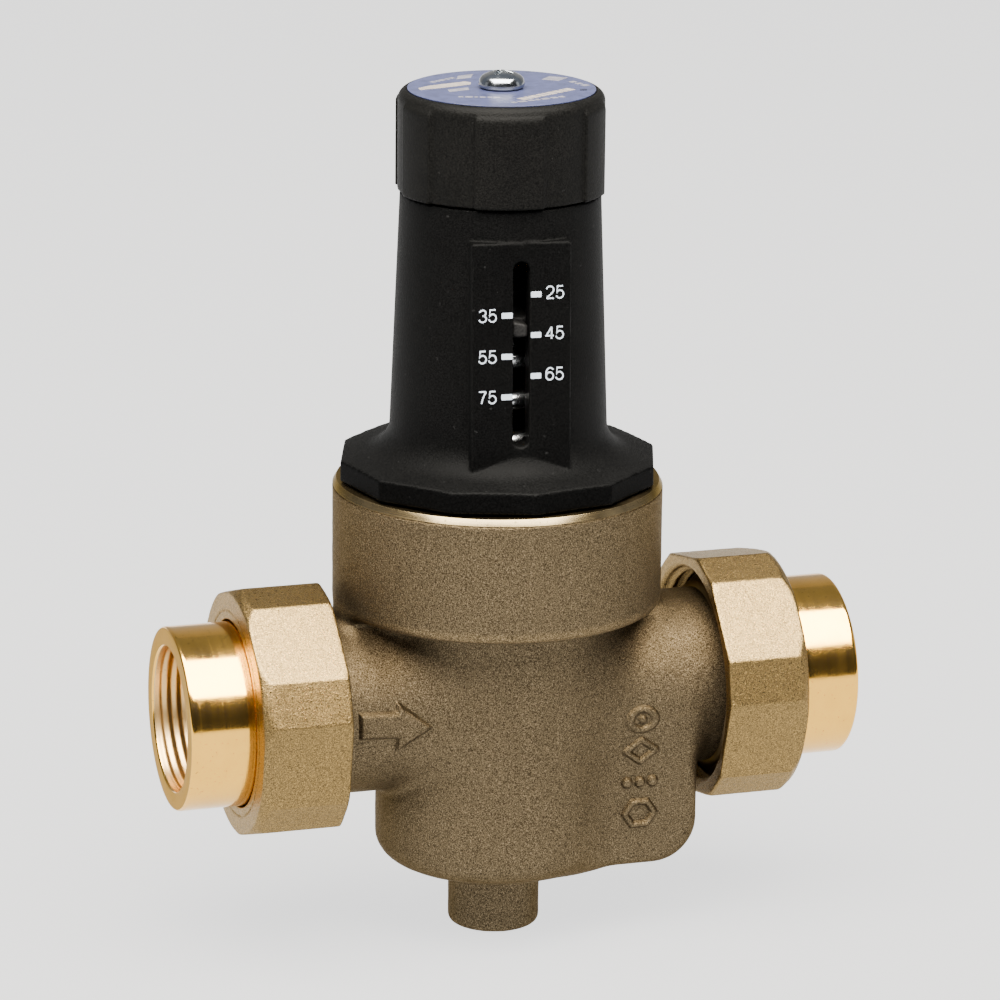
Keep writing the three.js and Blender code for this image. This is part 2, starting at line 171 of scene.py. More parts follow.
def math_node(nt, op, a, b=None):
    n = nt.nodes.new("ShaderNodeMath")
    n.operation = op
    for i, v in enumerate((a, b)):
        if v is None:
            continue
        if isinstance(v, (int, float)):
            n.inputs[i].default_value = v
        else:
            nt.links.new(v, n.inputs[i])
    return n.outputs[0]


def grainy_metal(name, light, mid, dark, rough, grain_mm, grain_strength, wave_strength, metallic=1.0, spot=0.5, patch=0.5, edge=(0.5, 0.42, 0.3), painted_light=False):
    """A cast or shot-blasted metal skin: fine granular relief, wider swells, mottled colour. The last flag adds a
    painted highlight band and painted shade on up-facing skin.
    """
    m, nt, b = material(name)
    v = coords(nt)
    fine = noise_of(nt, v, 1000 / grain_mm, 3.0, 0.65)
    fine2 = noise_of(nt, v, 1000 / (grain_mm * 1.9), 2.0, 0.6)
    broad = noise_of(nt, v, 1000 / 6.5, 3.0, 0.55)
    patches = noise_of(nt, v, 1000 / 19.0, 2.0, 0.5)
    grains = ramp(nt, fine, [(0.33, dark), (0.5, mid), (0.67, light)])
    tint = ramp(nt, patches, [(0.3, grey(1 - 0.16 * patch)), (0.7, grey(1 + 0.0))])
    col = mix(nt, 1.0, grains, tint, "MULTIPLY")
    pits = ramp(nt, fine2, [(0.30, grey(1 - spot)), (0.46, grey(1.0))])
    col = mix(nt, 1.0, col, pits, "MULTIPLY")
    if painted_light:
        # painted highlight: a lighter band round the bell's lower corner, standing in for the floor's reflection in
        # its rounded edge
        sep = nt.nodes.new("ShaderNodeSeparateXYZ")
        nt.links.new(v, sep.inputs[0])
        wob = math_node(nt, "ADD", sep.outputs[2], math_node(nt, "MULTIPLY", noise_of(nt, v, 1000 / 3.2, 3.0, 0.6), 0.0011))
        low = math_node(nt, "MULTIPLY", maprange(nt, wob, 0.0186, 0.0191, 0.0, 1.0, True), maprange(nt, wob, 0.0200, 0.0212, 1.0, 0.0, True))
        flat = nt.nodes.new("ShaderNodeCombineXYZ")
        nt.links.new(sep.outputs[0], flat.inputs[0])
        nt.links.new(sep.outputs[1], flat.inputs[1])
        ln = nt.nodes.new("ShaderNodeVectorMath")
        ln.operation = "LENGTH"
        nt.links.new(flat.outputs[0], ln.inputs[0])
        ring = maprange(nt, ln.outputs["Value"], 0.0293, 0.0297, 0.0, 1.0)
        band = math_node(nt, "MULTIPLY", math_node(nt, "MULTIPLY", low, ring), 0.8)
        col = mix(nt, band, col, mix(nt, 1.0, col, (1.55, 1.5, 1.4), "MULTIPLY"))
        # painted shade: the skin is darker where it faces up, holding down the highlight from the overhead light
        geo = nt.nodes.new("ShaderNodeNewGeometry")
        gs = nt.nodes.new("ShaderNodeSeparateXYZ")
        nt.links.new(geo.outputs["Normal"], gs.inputs[0])
        col = mix(nt, maprange(nt, gs.outputs[2], 0.12, 0.62, 0.0, 1.0, True), col, mix(nt, 1.0, col, (0.56, 0.53, 0.48), "MULTIPLY"))
    nt.links.new(col, b.inputs["Base Color"])
    b.inputs["Specular Tint"].default_value = (*edge, 1)
    b.inputs["Metallic"].default_value = metallic
    r = maprange(nt, fine2, 0.3, 0.7, rough + 0.09, rough - 0.08)
    nt.links.new(r, b.inputs["Roughness"])
    n1 = bump(nt, broad, wave_strength, 0.00025)
    n2 = bump(nt, fine2, grain_strength * 0.8, 0.00008, n1)
    n3 = bump(nt, fine, grain_strength, 0.00006, n2)
    nt.links.new(n3, b.inputs["Normal"])
    return m


def turned_metal(name, colour, rough, axis, line_mm=0.16, line_strength=0.25, specks=0.35, tint=0.06, coat=0.0, edge=None):
    """A lathe-turned bright metal: fine tool lines round the axis, faint stains, tiny specks."""
    m, nt, b = material(name)
    s = [25.0, 25.0, 25.0]
    s["xyz".index(axis)] = 1000 / line_mm
    v = coords(nt, tuple(s))
    lines = noise_of(nt, v, 1.0, 2.0, 0.5)
    v2 = coords(nt)
    stain = noise_of(nt, v2, 1000 / 9.0, 4.0, 0.6, 0.4)
    speck = noise_of(nt, v2, 1000 / 0.55, 2.0, 0.5)
    c = Vector(colour)
    col = ramp(nt, stain, [(0.3, tuple(c * (1 - tint * 1.6))), (0.55, tuple(c)), (0.8, tuple(c * (1 - tint)))])
    col = mix(nt, 1.0, col, ramp(nt, speck, [(0.26, grey(1 - specks)), (0.36, grey(1.0))]), "MULTIPLY")
    nt.links.new(col, b.inputs["Base Color"])
    b.inputs["Metallic"].default_value = 1.0
    ra = maprange(nt, stain, 0.3, 0.75, rough - 0.03, rough + 0.07)
    rb = maprange(nt, lines, 0.3, 0.7, -0.03, 0.05)
    nt.links.new(math_node(nt, "ADD", ra, rb), b.inputs["Roughness"])
    n1 = bump(nt, lines, line_strength, 0.00002)
    n2 = bump(nt, speck, 0.10, 0.00003, n1)
    nt.links.new(n2, b.inputs["Normal"])
    if edge:
        b.inputs["Specular Tint"].default_value = (*edge, 1)
    if coat:
        b.inputs["Coat Weight"].default_value = coat
        b.inputs["Coat Roughness"].default_value = 0.32
        nt.links.new(bump(nt, speck, 0.9, 0.00006), b.inputs["Coat Normal"])
    return m


def moulded(name, colour, rough, grain_mm=0.35, strength=0.35, lift=0.6, spec=0.5):
    """Moulded plastic: spark-eroded fine texture, faint dust, slightly uneven gloss."""
    m, nt, b = material(name)
    v = coords(nt)
    fine = noise_of(nt, v, 1000 / grain_mm, 2.0, 0.6)
    cloud = noise_of(nt, v, 1000 / 11.0, 3.0, 0.55)
    dust = noise_of(nt, v, 1000 / 1.1, 1.0, 0.5)
    c = Vector(colour)
    col = ramp(nt, cloud, [(0.3, tuple(c)), (0.72, tuple(c * (1 + lift)))])
    col = mix(nt, ramp(nt, dust, [(0.75, grey(0.0)), (0.84, grey(0.35))]), col, tuple(Vector(colour) * 2.2 + Vector((0.02, 0.02, 0.02))))
    col = mix(nt, 1.0, col, ramp(nt, fine, [(0.34, grey(0.45)), (0.66, grey(1.9))]), "MULTIPLY")
    nt.links.new(col, b.inputs["Base Color"])
    r = maprange(nt, fine, 0.3, 0.7, rough - 0.05, rough + 0.07)
    nt.links.new(r, b.inputs["Roughness"])
    b.inputs["Specular IOR Level"].default_value = spec * 1.1
    n1 = bump(nt, fine, strength, 0.00009)
    n2 = bump(nt, cloud, 0.15, 0.0004, n1)
    nt.links.new(n2, b.inputs["Normal"])
    return m


def soft_rubber(name, colour, rough=0.7):
    m, nt, b = material(name)
    v = coords(nt)
    fine = noise_of(nt, v, 1000 / 0.5, 3.0, 0.6)
    cloud = noise_of(nt, v, 1000 / 5.0, 3.0, 0.6)
    c = Vector(colour)
    nt.links.new(ramp(nt, cloud, [(0.3, tuple(c)), (0.7, tuple(c * 1.7))]), b.inputs["Base Color"])
    nt.links.new(maprange(nt, fine, 0.3, 0.7, rough - 0.08, rough + 0.1), b.inputs["Roughness"])
    nt.links.new(bump(nt, fine, 0.25, 0.00005), b.inputs["Normal"])
    return m


def bright_metal(name, colour, rough, scuff=0.25):
    m, nt, b = material(name)
    v = coords(nt)
    cloud = noise_of(nt, v, 1000 / 3.0, 4.0, 0.65, 0.6)
    fine = noise_of(nt, v, 1000 / 0.4, 2.0, 0.5)
    c = Vector(colour)
    nt.links.new(ramp(nt, cloud, [(0.3, tuple(c * 0.82)), (0.7, tuple(c))]), b.inputs["Base Color"])
    b.inputs["Metallic"].default_value = 1.0
    nt.links.new(maprange(nt, cloud, 0.3, 0.7, rough, rough + scuff), b.inputs["Roughness"])
    nt.links.new(bump(nt, fine, 0.12, 0.00002), b.inputs["Normal"])
    return m


# the last flag turns on the bell's painted highlight band and the painted shade on up-facing skin
CAST = grainy_metal("cast_bronze", (0.265, 0.202, 0.120), (0.088, 0.066, 0.0375), (0.017, 0.0125, 0.0072), 0.50, 0.19, 1.15, 0.35, spot=0.5, edge=(0.5, 0.455, 0.40), painted_light=True)
SHOT = grainy_metal("shot_brass", (0.43, 0.279, 0.092), (0.188, 0.127, 0.052), (0.060, 0.0415, 0.019), 0.32, 0.20, 1.15, 0.12, spot=0.34, patch=0.3, edge=(0.92, 0.82, 0.68))
MACHINED_RIM = turned_metal("machined_bronze_rim", (0.25, 0.188, 0.098), 0.24, "z", 0.2, 0.3, specks=0.5, tint=0.12, edge=(0.5, 0.44, 0.34))
TURNED_X = turned_metal("turned_brass_x", (0.90, 0.485, 0.068), 0.10, "x", 0.17, 0.2, coat=0.13)
BORE_X = turned_metal("turned_brass_bore", (0.62, 0.41, 0.17), 0.33, "x", 0.25, 0.2, coat=0.1, edge=(0.7, 0.58, 0.42))
TIP_X = turned_metal("turned_brass_tip", (0.44, 0.285, 0.105), 0.34, "x", 0.25, 0.2, edge=(0.6, 0.48, 0.32))
TURNED_Z = turned_metal("turned_brass_z", (0.90, 0.50, 0.11), 0.14, "z", 0.17, 0.2)
# painted shade: the union threads get a dark bronze, standing in for the shade in the gap inside the union nuts
SHADED_THREAD = turned_metal("cut_thread_bronze_shaded", (0.13, 0.095, 0.052), 0.42, "x", 0.3, 0.2, edge=(0.4, 0.35, 0.28))
BLACK = moulded("black_nylon", (0.0012, 0.0012, 0.00118), 0.56, 0.33, 0.9, spec=0.034)
# painted shade: a darker, less glossy copy of the black nylon for the flange's upright sides
SHADED_FLANGE_BLACK = moulded("black_nylon_flange_shaded", (0.0007, 0.0007, 0.0007), 0.56, 0.33, 0.6, spec=0.016)
PAD_BLACK = moulded("black_nylon_scale_pad", (0.0009, 0.0009, 0.0009), 0.5, 0.30, 0.45, spec=0.028)
BLACK_KNOB = moulded("black_nylon_knob", (0.0017, 0.00165, 0.0015), 0.54, 0.33, 0.9, spec=0.05)
GREY = moulded("grey_acetal", (0.0060, 0.0058, 0.0057), 0.5, 0.4, 0.3, spec=0.1)
WHITE_ACETAL = moulded("white_acetal", (0.78, 0.77, 0.72), 0.42, 0.6, 0.1, lift=0.05)
RUBBER = soft_rubber("nitrile_rubber", (0.012, 0.012, 0.012))
FIBRE = soft_rubber("fibre_gasket", (0.045, 0.052, 0.045), 0.8)
ZINC = bright_metal("bright_zinc", (0.36, 0.38, 0.40), 0.12, 0.12)
SPRING = bright_metal("spring_wire", (0.72, 0.73, 0.75), 0.13, 0.15)
STAINLESS = bright_metal("stainless", (0.66, 0.66, 0.66), 0.2, 0.15)


def ink(name, colour, rough=0.5, var=0.08):
    m, nt, b = material(name)
    v = coords(nt)
    cloud = noise_of(nt, v, 1000 / 1.6, 3.0, 0.6)
    c = Vector(colour)
    nt.links.new(ramp(nt, cloud, [(0.3, tuple(c * (1 - var * 2))), (0.6, tuple(c))]), b.inputs["Base Color"])
    b.inputs["Roughness"].default_value = rough
    nt.links.new(bump(nt, cloud, 0.1, 0.00003), b.inputs["Normal"])
    return m


SCALE_INK = ink("scale_ink", (0.42, 0.47, 0.54), 0.5)
LABEL = ink("label_blue", (0.029, 0.034, 0.080), 0.38, 0.16)
LABEL_CREAM = ink("label_cream", (0.215, 0.190, 0.172), 0.42, 0.14)
LABEL_PALE = ink("label_pale", (0.125, 0.122, 0.145), 0.35, 0.15)
LABEL_DARK = ink("label_dark", (0.004, 0.006, 0.020), 0.4, 0.05)

# --------------------------------------------------------------------------
# mesh code
# --------------------------------------------------------------------------
def to_object(name, verts, faces, mat, smooth=True):
    me = bpy.data.meshes.new(name)
    v = np.asarray(verts, dtype=np.float64) * MM
    me.from_pydata(v.tolist(), [], faces if isinstance(faces, list) else faces.tolist())
    me.update()
    if smooth:
        me.polygons.foreach_set("use_smooth", np.ones(len(me.polygons), dtype=bool))
    ob = bpy.data.objects.new(name, me)
    bpy.context.scene.collection.objects.link(ob)
    me.materials.append(mat)
    return ob


def sharpen(ob, degrees=35):
    """Marks edges sharper than the angle, so that a turned corner keeps its line."""
    me = ob.data
    bm = bmesh.new()
    bm.from_mesh(me)
    lim = math.radians(degrees)
    for e in bm.edges:
        if len(e.link_faces) == 2 and e.calc_face_angle(0.0) > lim:
            e.smooth = False
    bm.to_mesh(me)
    bm.free()
    me.update()


def surface_net(f, lo, hi, h, steps=3):
    """A closed quad mesh of f(P) = 0, negative inside, then settled on to the exact surface."""
    lo, hi = np.array(lo, float), np.array(hi, float)
    n = np.ceil((hi - lo) / h).astype(int) + 1
    ax = [lo[i] + h * np.arange(n[i]) for i in range(3)]
    V = np.empty(n, np.float32)
    yz = np.stack(np.meshgrid(ax[1], ax[2], indexing="ij"), -1).reshape(-1, 2)
    block = max(1, int(400000 / len(yz)))
    for i0 in range(0, n[0], block):
        xs = ax[0][i0:i0 + block]
        P = np.empty((len(xs) * len(yz), 3))
        P[:, 0] = np.repeat(xs, len(yz))
        P[:, 1:] = np.tile(yz, (len(xs), 1))
        V[i0:i0 + len(xs)] = f(P).reshape(len(xs), n[1], n[2])
    V[V == 0] = 1e-6
    S = V < 0
    c = np.zeros(n - 1, np.int8)
    for dx in (0, 1):
        for dy in (0, 1):
            for dz in (0, 1):
                c += S[dx:n[0] - 1 + dx, dy:n[1] - 1 + dy, dz:n[2] - 1 + dz]
    cells = np.argwhere((c > 0) & (c < 8))
    index = np.full(n - 1, -1, np.int64)
    index[tuple(cells.T)] = np.arange(len(cells))
    corners = [(a, b, d) for a in (0, 1) for b in (0, 1) for d in (0, 1)]
    acc, cnt = np.zeros((len(cells), 3)), np.zeros(len(cells))
    for a in range(8):
        for b in range(a + 1, 8):
            ca, cb = np.array(corners[a]), np.array(corners[b])
            if np.abs(ca - cb).sum() != 1:
                continue
            va = V[tuple((cells + ca).T)]
            vb = V[tuple((cells + cb).T)]
            k = (va < 0) != (vb < 0)
            t = np.where(k, va / np.where(k, va - vb, 1), 0)[:, None]
            acc += np.where(k[:, None], ca + (cb - ca) * t, 0)
            cnt += k
    P = lo + h * (cells + acc / cnt[:, None])
    faces = []
    for axis in range(3):
        u, w = (axis + 1) % 3, (axis + 2) % 3
        a = [slice(None)] * 3
        b = [slice(None)] * 3
        a[axis], b[axis] = slice(0, -1), slice(1, None)
        cross = S[tuple(a)] != S[tuple(b)]
        e = np.argwhere(cross)
        e = e[(e[:, u] > 0) & (e[:, w] > 0) & (e[:, u] < n[u] - 1) & (e[:, w] < n[w] - 1)]
        du, dw = np.eye(3, dtype=int)[u], np.eye(3, dtype=int)[w]
        q = np.stack([index[tuple((e - du - dw).T)], index[tuple((e - dw).T)], index[tuple(e.T)], index[tuple((e - du).T)]], 1)
        flip = ~S[tuple(e.T)]
        q[flip] = q[flip][:, ::-1]
        faces.append(q)
    faces = np.concatenate(faces)
    eps = 0.02
    for _ in range(steps):
        d = f(P)
        g = np.stack([f(P + eps * np.eye(3)[i]) - f(P - eps * np.eye(3)[i]) for i in range(3)], 1) / (2 * eps)
        gg = np.maximum((g * g).sum(1), 0.2)
        move = -(d / gg)[:, None] * g
        l = np.linalg.norm(move, axis=1, keepdims=True)
        P += move * np.minimum(1, 0.45 * h / np.maximum(l, 1e-9))
    return P, faces


def box2(a, b, ha, hb, r):
    qa, qb = np.abs(a) - ha + r, np.abs(b) - hb + r
    return np.hypot(np.maximum(qa, 0), np.maximum(qb, 0)) + np.minimum(np.maximum(qa, qb), 0) - r


def span(z, a, b):
    """Signed distance to the slab a..b."""
    return np.abs(z - (a + b) / 2) - (b - a) / 2


def r_union(a, b, r):
    """Union with a circular fillet of radius r."""
    u, v = np.maximum(r - a, 0), np.maximum(r - b, 0)
    return np.maximum(r, np.minimum(a, b)) - np.hypot(u, v)


def r_inter(a, b, r):
    """Intersection with a rounded edge of radius r."""
    u, v = np.maximum(r + a, 0), np.maximum(r + b, 0)
    return np.minimum(-r, np.maximum(a, b)) + np.hypot(u, v)


def r_cut(a, b, r):
    return r_inter(a, -b, r)


def smooth01(x, a, b):
    t = np.clip((x - a) / (b - a), 0, 1)
    return t * t * (3 - 2 * t)


def polygon(x, y, pts):
    """Signed distance to a polygon."""
    pts = np.asarray(pts, float)
    d = np.full(x.shape, 1e9)
    s = np.ones(x.shape)
    n = len(pts)
    for i in range(n):
        a, b = pts[i], pts[i - 1]
        e, wx, wy = b - a, x - a[0], y - a[1]
        t = np.clip((wx * e[0] + wy * e[1]) / (e @ e), 0, 1)
        d = np.minimum(d, (wx - e[0] * t) ** 2 + (wy - e[1] * t) ** 2)
        c1, c2, c3 = y >= a[1], y < b[1], e[0] * wy > e[1] * wx
        s = np.where((c1 & c2 & c3) | (~c1 & ~c2 & ~c3), -s, s)
    return s * np.sqrt(d)


def flats(u, v, apothems, angles):
    """Convex prism from its flats: the largest of the plane distances."""
    d = None
    for k, a in zip(apothems, angles):
        p = u * math.cos(a) + v * math.sin(a) - k
        d = p if d is None else np.maximum(d, p)
    return d


def turned(points, seg=160, axis="z", name="turned", mat=None, wobble=None, close=True):
    """A surface turned about an axis. points are (radius, height) or (radius, height, corner radius).
    wobble(height, angle, row) may add to the radius, for a thread."""
    pts = []
    P = [tuple(p) + (0,) * (3 - len(p)) for p in points]
    n = len(P)
    for i, (r, h, c) in enumerate(P):
        if c <= 0 or (not close and i in (0, n - 1)):
            pts.append((r, h))
            continue
        a, b = np.array(P[i - 1][:2]), np.array(P[(i + 1) % n][:2])
        p = np.array((r, h))
        ua, ub = (a - p), (b - p)
        la, lb = np.linalg.norm(ua), np.linalg.norm(ub)
        ua, ub = ua / la, ub / lb
        half = math.acos(max(-1, min(1, float(ua @ ub)))) / 2
        t = min(c / math.tan(half), 0.49 * la, 0.49 * lb)
        rr = t * math.tan(half)
        ctr = p + (ua + ub) / np.linalg.norm(ua + ub) * rr / math.sin(half)
        s, e = p + ua * t - ctr, p + ub * t - ctr
        a0, a1 = math.atan2(s[1], s[0]), math.atan2(e[1], e[0])
        d = (a1 - a0 + math.pi) % (2 * math.pi) - math.pi
        m = max(2, int(abs(d) / math.radians(14)) + 1)
        for j in range(m + 1):
            w = a0 + d * j / m
            pts.append((ctr[0] + rr * math.cos(w), ctr[1] + rr * math.sin(w)))
    pts = np.array(pts)
    th = np.linspace(0, 2 * math.pi, seg, endpoint=False)
    R = np.repeat(pts[:, 0][:, None], seg, 1)
    H = np.repeat(pts[:, 1][:, None], seg, 1)
    if wobble is not None:
        R = R + wobble(H, th[None, :], R)
    c, s = np.cos(th)[None, :], np.sin(th)[None, :]
    if axis == "z":
        V = np.stack([R * c, R * s, H], -1)
    else:
        V = np.stack([H, R * c, R * s], -1)
    m = len(pts)
    idx = np.arange(m * seg).reshape(m, seg)
    rows = range(m if close else m - 1)
    F = []
    for i in rows:
        a, b = idx[i], idx[(i + 1) % m]
        F.append(np.stack([a, b, np.roll(b, -1), np.roll(a, -1)], 1))
    F = np.concatenate(F)
    V = V.reshape(-1, 3)
    ob = to_object(name, V, F, mat)
    tidy(ob)
    return ob


def tidy(ob):
    """Merges the points on the axis and turns every face outwards."""
    bm = bmesh.new()
    bm.from_mesh(ob.data)
    bmesh.ops.remove_doubles(bm, verts=bm.verts, dist=2e-6)
    bmesh.ops.dissolve_degenerate(bm, dist=1e-7, edges=bm.edges)
    bmesh.ops.recalc_face_normals(bm, faces=bm.faces)
    bm.to_mesh(ob.data)
    bm.free()
    ob.data.polygons.foreach_set("use_smooth", np.ones(len(ob.data.polygons), dtype=bool))
    ob.data.update()


def relief(P, N, amp, size, lo=-1.0):
    """Moves points along their normals by smooth noise, inwards only, so that the outline stays in its box."""
    out = P.copy()
    for i in range(len(P)):
        p = Vector(P[i] / size)
        k = noise.noise(p) * 0.6 + noise.noise(p * 2.3 + Vector((7.1, 3.3, 1.7))) * 0.4
        out[i] += N[i] * amp * (k * 0.5 - 0.5)
    return out


def net_object(name, f, lo, hi, h, mat, rough=None):
    P, F = surface_net(f, lo, hi, h)
    if rough:
        eps = 0.05
        g = np.stack([f(P + eps * np.eye(3)[i]) - f(P - eps * np.eye(3)[i]) for i in range(3)], 1)
        g /= np.maximum(np.linalg.norm(g, axis=1, keepdims=True), 1e-9)
        P = relief(P, g, *rough)
    return to_object(name, P, F, mat)


def spin(P, deg):
    a = math.radians(deg)
    c, s = math.cos(a), math.sin(a)
    return P[:, 0] * c + P[:, 1] * s, -P[:, 0] * s + P[:, 1] * c


pieces = {}


def place(ob, body, replaces=()):
    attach(ob, body)
    if replaces:
        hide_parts(*replaces)
    pieces[ob.name] = ob
    return ob


# --------------------------------------------------------------------------
# the casting
# --------------------------------------------------------------------------
H_CAST = 0.56


def casting(P):
    x, y, z = P.T
    rz, rx = np.hypot(x, y), np.hypot(y, z)
    bell = np.maximum(box2(rz, z - 31.05, 30.5, 12.95, 1.5), z - 40.38)
    barrel = box2(rz, z + 0.875, 22.4, 30.875, 5.0)
    boss = box2(rz, z + 35.1, 8.6, 10.0, 1.3)
    neck_in = np.maximum(np.maximum(rx - 16.5, -37.0 - x), x - 6)
    neck_out = np.maximum(np.maximum(rx - 16.5, x - 40.6), -6 - x)
    half = 15.8 - 0.32 * np.maximum(z + 2.5, 0)
    chest = r_inter(box2(x - 12.65, z + 11.875, 22.65, 19.875, 8.5), np.abs(y) - half, 2.6)
    soft = 1.6 + 4.6 * smooth01(z, -15.5, -4)
    d = r_union(barrel, r_union(neck_in, neck_out, 0.5), soft)
    d = r_union(d, chest, 3.2)
    d = r_union(d, bell, 0.9 + 3.6 * smooth01(np.abs(x), 14.0, 24.0))
    d = r_union(d, boss, 1.0)
    # the inside
    v = np.maximum(rz - 27.5, 30 - z)
    v = np.minimum(v, np.maximum(rz - 22, span(z, 24.5, 31)))
    v = np.minimum(v, np.maximum(rz - 14, span(z, 14, 26)))
    v = np.minimum(v, np.maximum(rz - 17, span(z, -6.5, 15)))
    v = np.minimum(v, np.maximum(rz - 12.2, span(z, -14, -5)))
    v = np.minimum(v, np.maximum(rz - 17, span(z, -27.75, -13)))
    v = np.minimum(v, np.maximum(rx - 11.5, x + 13.5))
    v = np.minimum(v, np.maximum(rx - 11.5, 25 - x))
    v = np.minimum(v, np.maximum(np.maximum(span(x, 18.9, 30.8), np.abs(y) - 11), span(z, -27.75, 9)))
    v = np.minimum(v, np.maximum(np.maximum(span(x, 5, 30.8), np.abs(y) - 11), span(z, -27.75, -13)))
    v = np.minimum(v, np.maximum(np.hypot(x - 19.9, y) - 1.1, span(z, 8, 26)))
    return np.maximum(d, -v)


body = net_object("casting", casting, (-38.5, -31.5, -46), (42.0, 31.5, 41.0), H_CAST, CAST, rough=(0.11, 2.6))
place(body, "housing", ["valve_body"])

rim = turned([(27.55, 36), (30.2, 36), (30.2, 40.2), (30.43, 40.44, 0.05), (29.74, 41.62, 0.15), (27.9, 41.62, 0.2), (27.55, 41.2)],
             220, "z", "bell_rim", MACHINED_RIM)
place(rim, "housing")


def tooth(u, flat=0.12):
    """One pitch of a 60 degree thread, 0 at the root and 1 on the crest."""
    t = np.abs((u % 1.0) - 0.5) * 2
    return np.clip((1 - t - flat) / (1 - 2 * flat), 0, 1)


def collar(name, x_end, sign):
    """The male union thread on one end of the casting, with its bore's mouth."""
    pitch, depth = 2.309, 1.3
    rows = [(11.45, 0), (11.9, 0.0), (16.9, 0.0)]
    m = 70
    rows += [(17.6, 0.55 + 4.6 * i / m) for i in range(m + 1)]
    rows += [(16.2, 5.9), (15.5, 6.3), (11.45, 6.3)]

    def wob(H, T, R):
        s = (H - x_end) / sign
        run = smooth01(s, 0.2, 1.4) * (1 - smooth01(s, 4.1, 5.1))
        return np.where(R > 17.55, depth * tooth(s / pitch - T / (2 * math.pi) * sign) * run, 0)

    # the thread's dark colour is painted shade of the gap inside the nut
    ob = turned([(r, x_end + sign * h) for r, h in rows], 144, "x", name, SHADED_THREAD, wob)
    place(ob, "housing")
    return ob


collar("union_thread_inlet", -42.0, 1)
collar("union_thread_outlet", 45.6, -1)


# flow arrow, standing proud of the inlet neck
def arrow(P):
    x, y, z = P.T
    a = polygon(x, z, [(-30.8, 3.2), (-30.8, -1.35), (-23.7, -1.75), (-23.7, -4.4), (-17.9, 0.0), (-23.7, 4.6), (-23.7, 2.9)])
    skin = casting(P)
    wall = a * 0.82 + (skin - 0.5) * 0.55
    return np.maximum(np.maximum(r_inter(wall, skin - 0.88, 0.32), -skin - 1.0), y + 8)


# generic foundry marks on the chest: a target, a lozenge, three dots and a hexagon
def marks(P):
    x, y, z = P.T
    u, w = x - 23.3, z
    target_ = np.minimum(np.abs(np.hypot(u / 1.22, w + 2.4) - 2.0) - 0.55, np.hypot(u, w + 2.4) - 0.7)
    lozenge = np.abs(polygon(u, w + 8.7, [(-3.0, 0), (0, -2.2), (3.0, 0), (0, 2.2)])) - 0.5
    dots = np.minimum(np.minimum(np.hypot(u + 2.5, w + 14.9) - 0.95, np.hypot(u, w + 14.9) - 0.95), np.hypot(u - 2.5, w + 14.9) - 0.95)
    hexa = np.abs(polygon(u, w + 21.0, [(2.9 * math.cos(math.radians(60 * k)), 2.5 * math.sin(math.radians(60 * k))) for k in range(6)])) - 0.52
    a = np.minimum(np.minimum(target_, lozenge), np.minimum(dots, hexa))
    skin = casting(P)
    wall = a * 0.85 + (skin - 0.4) * 0.5
    return np.maximum(np.maximum(r_inter(wall, skin - 0.80, 0.28), -skin - 0.8), y + 12)


place(net_object("flow_arrow", arrow, (-33, -20.5, -6), (-17, -11.5, 6), 0.3, CAST, rough=(0.08, 1.2)), "housing")
place(net_object("foundry_marks", marks, (18.6, -18.4, -24.6), (28, -14.2, 1.2), 0.22, CAST, rough=(0.06, 1.0)), "housing")

# --------------------------------------------------------------------------
# the spring cage
# --------------------------------------------------------------------------
YAW = -5.7           # which way the scale faces
FLANGE_YAW = -3.7
H_CAGE = 0.44


def cage(P):
    z = P[:, 2]
    rz = np.hypot(P[:, 0], P[:, 1])
    u, v = spin(P, YAW)
    fu, fv = spin(P, FLANGE_YAW)
    cone = rz - (20.0 - (z - 51.5) * (1.65 / 42.5))
    shell = np.maximum(cone * 0.999, span(z, 42.3, 95.35))
    prism = flats(fu, fv, [29.6 * math.cos(math.pi / 12)] * 12, [math.radians(-75 + 30 * k) for k in range(12)])
    lid = (z - (46.15 + (28.6 - rz) * 0.16)) * 0.987
    flange = r_inter(prism, np.maximum(lid, 42.15 - z), 0.3)
    d = r_union(shell, flange, 4.6)
    front = -v - (20.42 - (z - 46.8) * (1.57 / 42.9))
    pad = r_inter(r_inter(front, np.abs(u) - 9.1, 0.28), np.maximum(span(z, 47.0, 89.75), v + 14), 0.2)
    d = np.minimum(d, pad)
    foot = np.maximum(rz - 27.1, span(z, 33.3, 43))
    neck = np.maximum(rz - 17.3, span(z, 94, 108))
    d = np.minimum(d, np.minimum(foot, neck))
    inner = np.maximum(rz - 15.8, 104 - z * 0 - 104 + (z - 104))
    inner = np.maximum(rz - np.where(z < 45, 15.8 + np.clip((45 - z) / 7.5, 0, 1) * 6.6, 15.8), z - 104)
    d = np.maximum(d, -inner)
    d = np.maximum(d, -(rz - 5.3))
    slot = np.maximum(np.hypot(u, np.maximum(np.abs(z - 69.27) - (16.97 - 1.5), 0)) - 1.5, v + 12)
    return r_cut(d, slot, 0.22)


cage_ob = net_object("cage", cage, (-31.2, -31.2, 32.6), (31.2, 31.2, 109), H_CAGE, BLACK)
cage_ob.data.materials.append(PAD_BLACK)
cage_ob.data.materials.append(SHADED_FLANGE_BLACK)
_c, _s = math.cos(math.radians(YAW)), math.sin(math.radians(YAW))
for poly in cage_ob.data.polygons:
    q, nv = poly.center / MM, poly.normal
    pu, pn = q.x * _c + q.y * _s, q.x * _s - q.y * _c
    facing_out = nv.x * _s - nv.y * _c
    on_pad = abs(pu) < 9.15 and pn > 16 and ((facing_out > 0.97 and 47.1 < q.z < 89.8) or (nv.z > 0.8 and 89.2 < q.z < 90))
    # painted shade: the flange's upright sides take the darker copy of the nylon
    on_shaded_flange = q.z < 46.6 and math.hypot(q.x, q.y) > 27.0 and abs(nv.z) < 0.4
    if on_pad:
        poly.material_index = 1
    elif on_shaded_flange:
        poly.material_index = 2
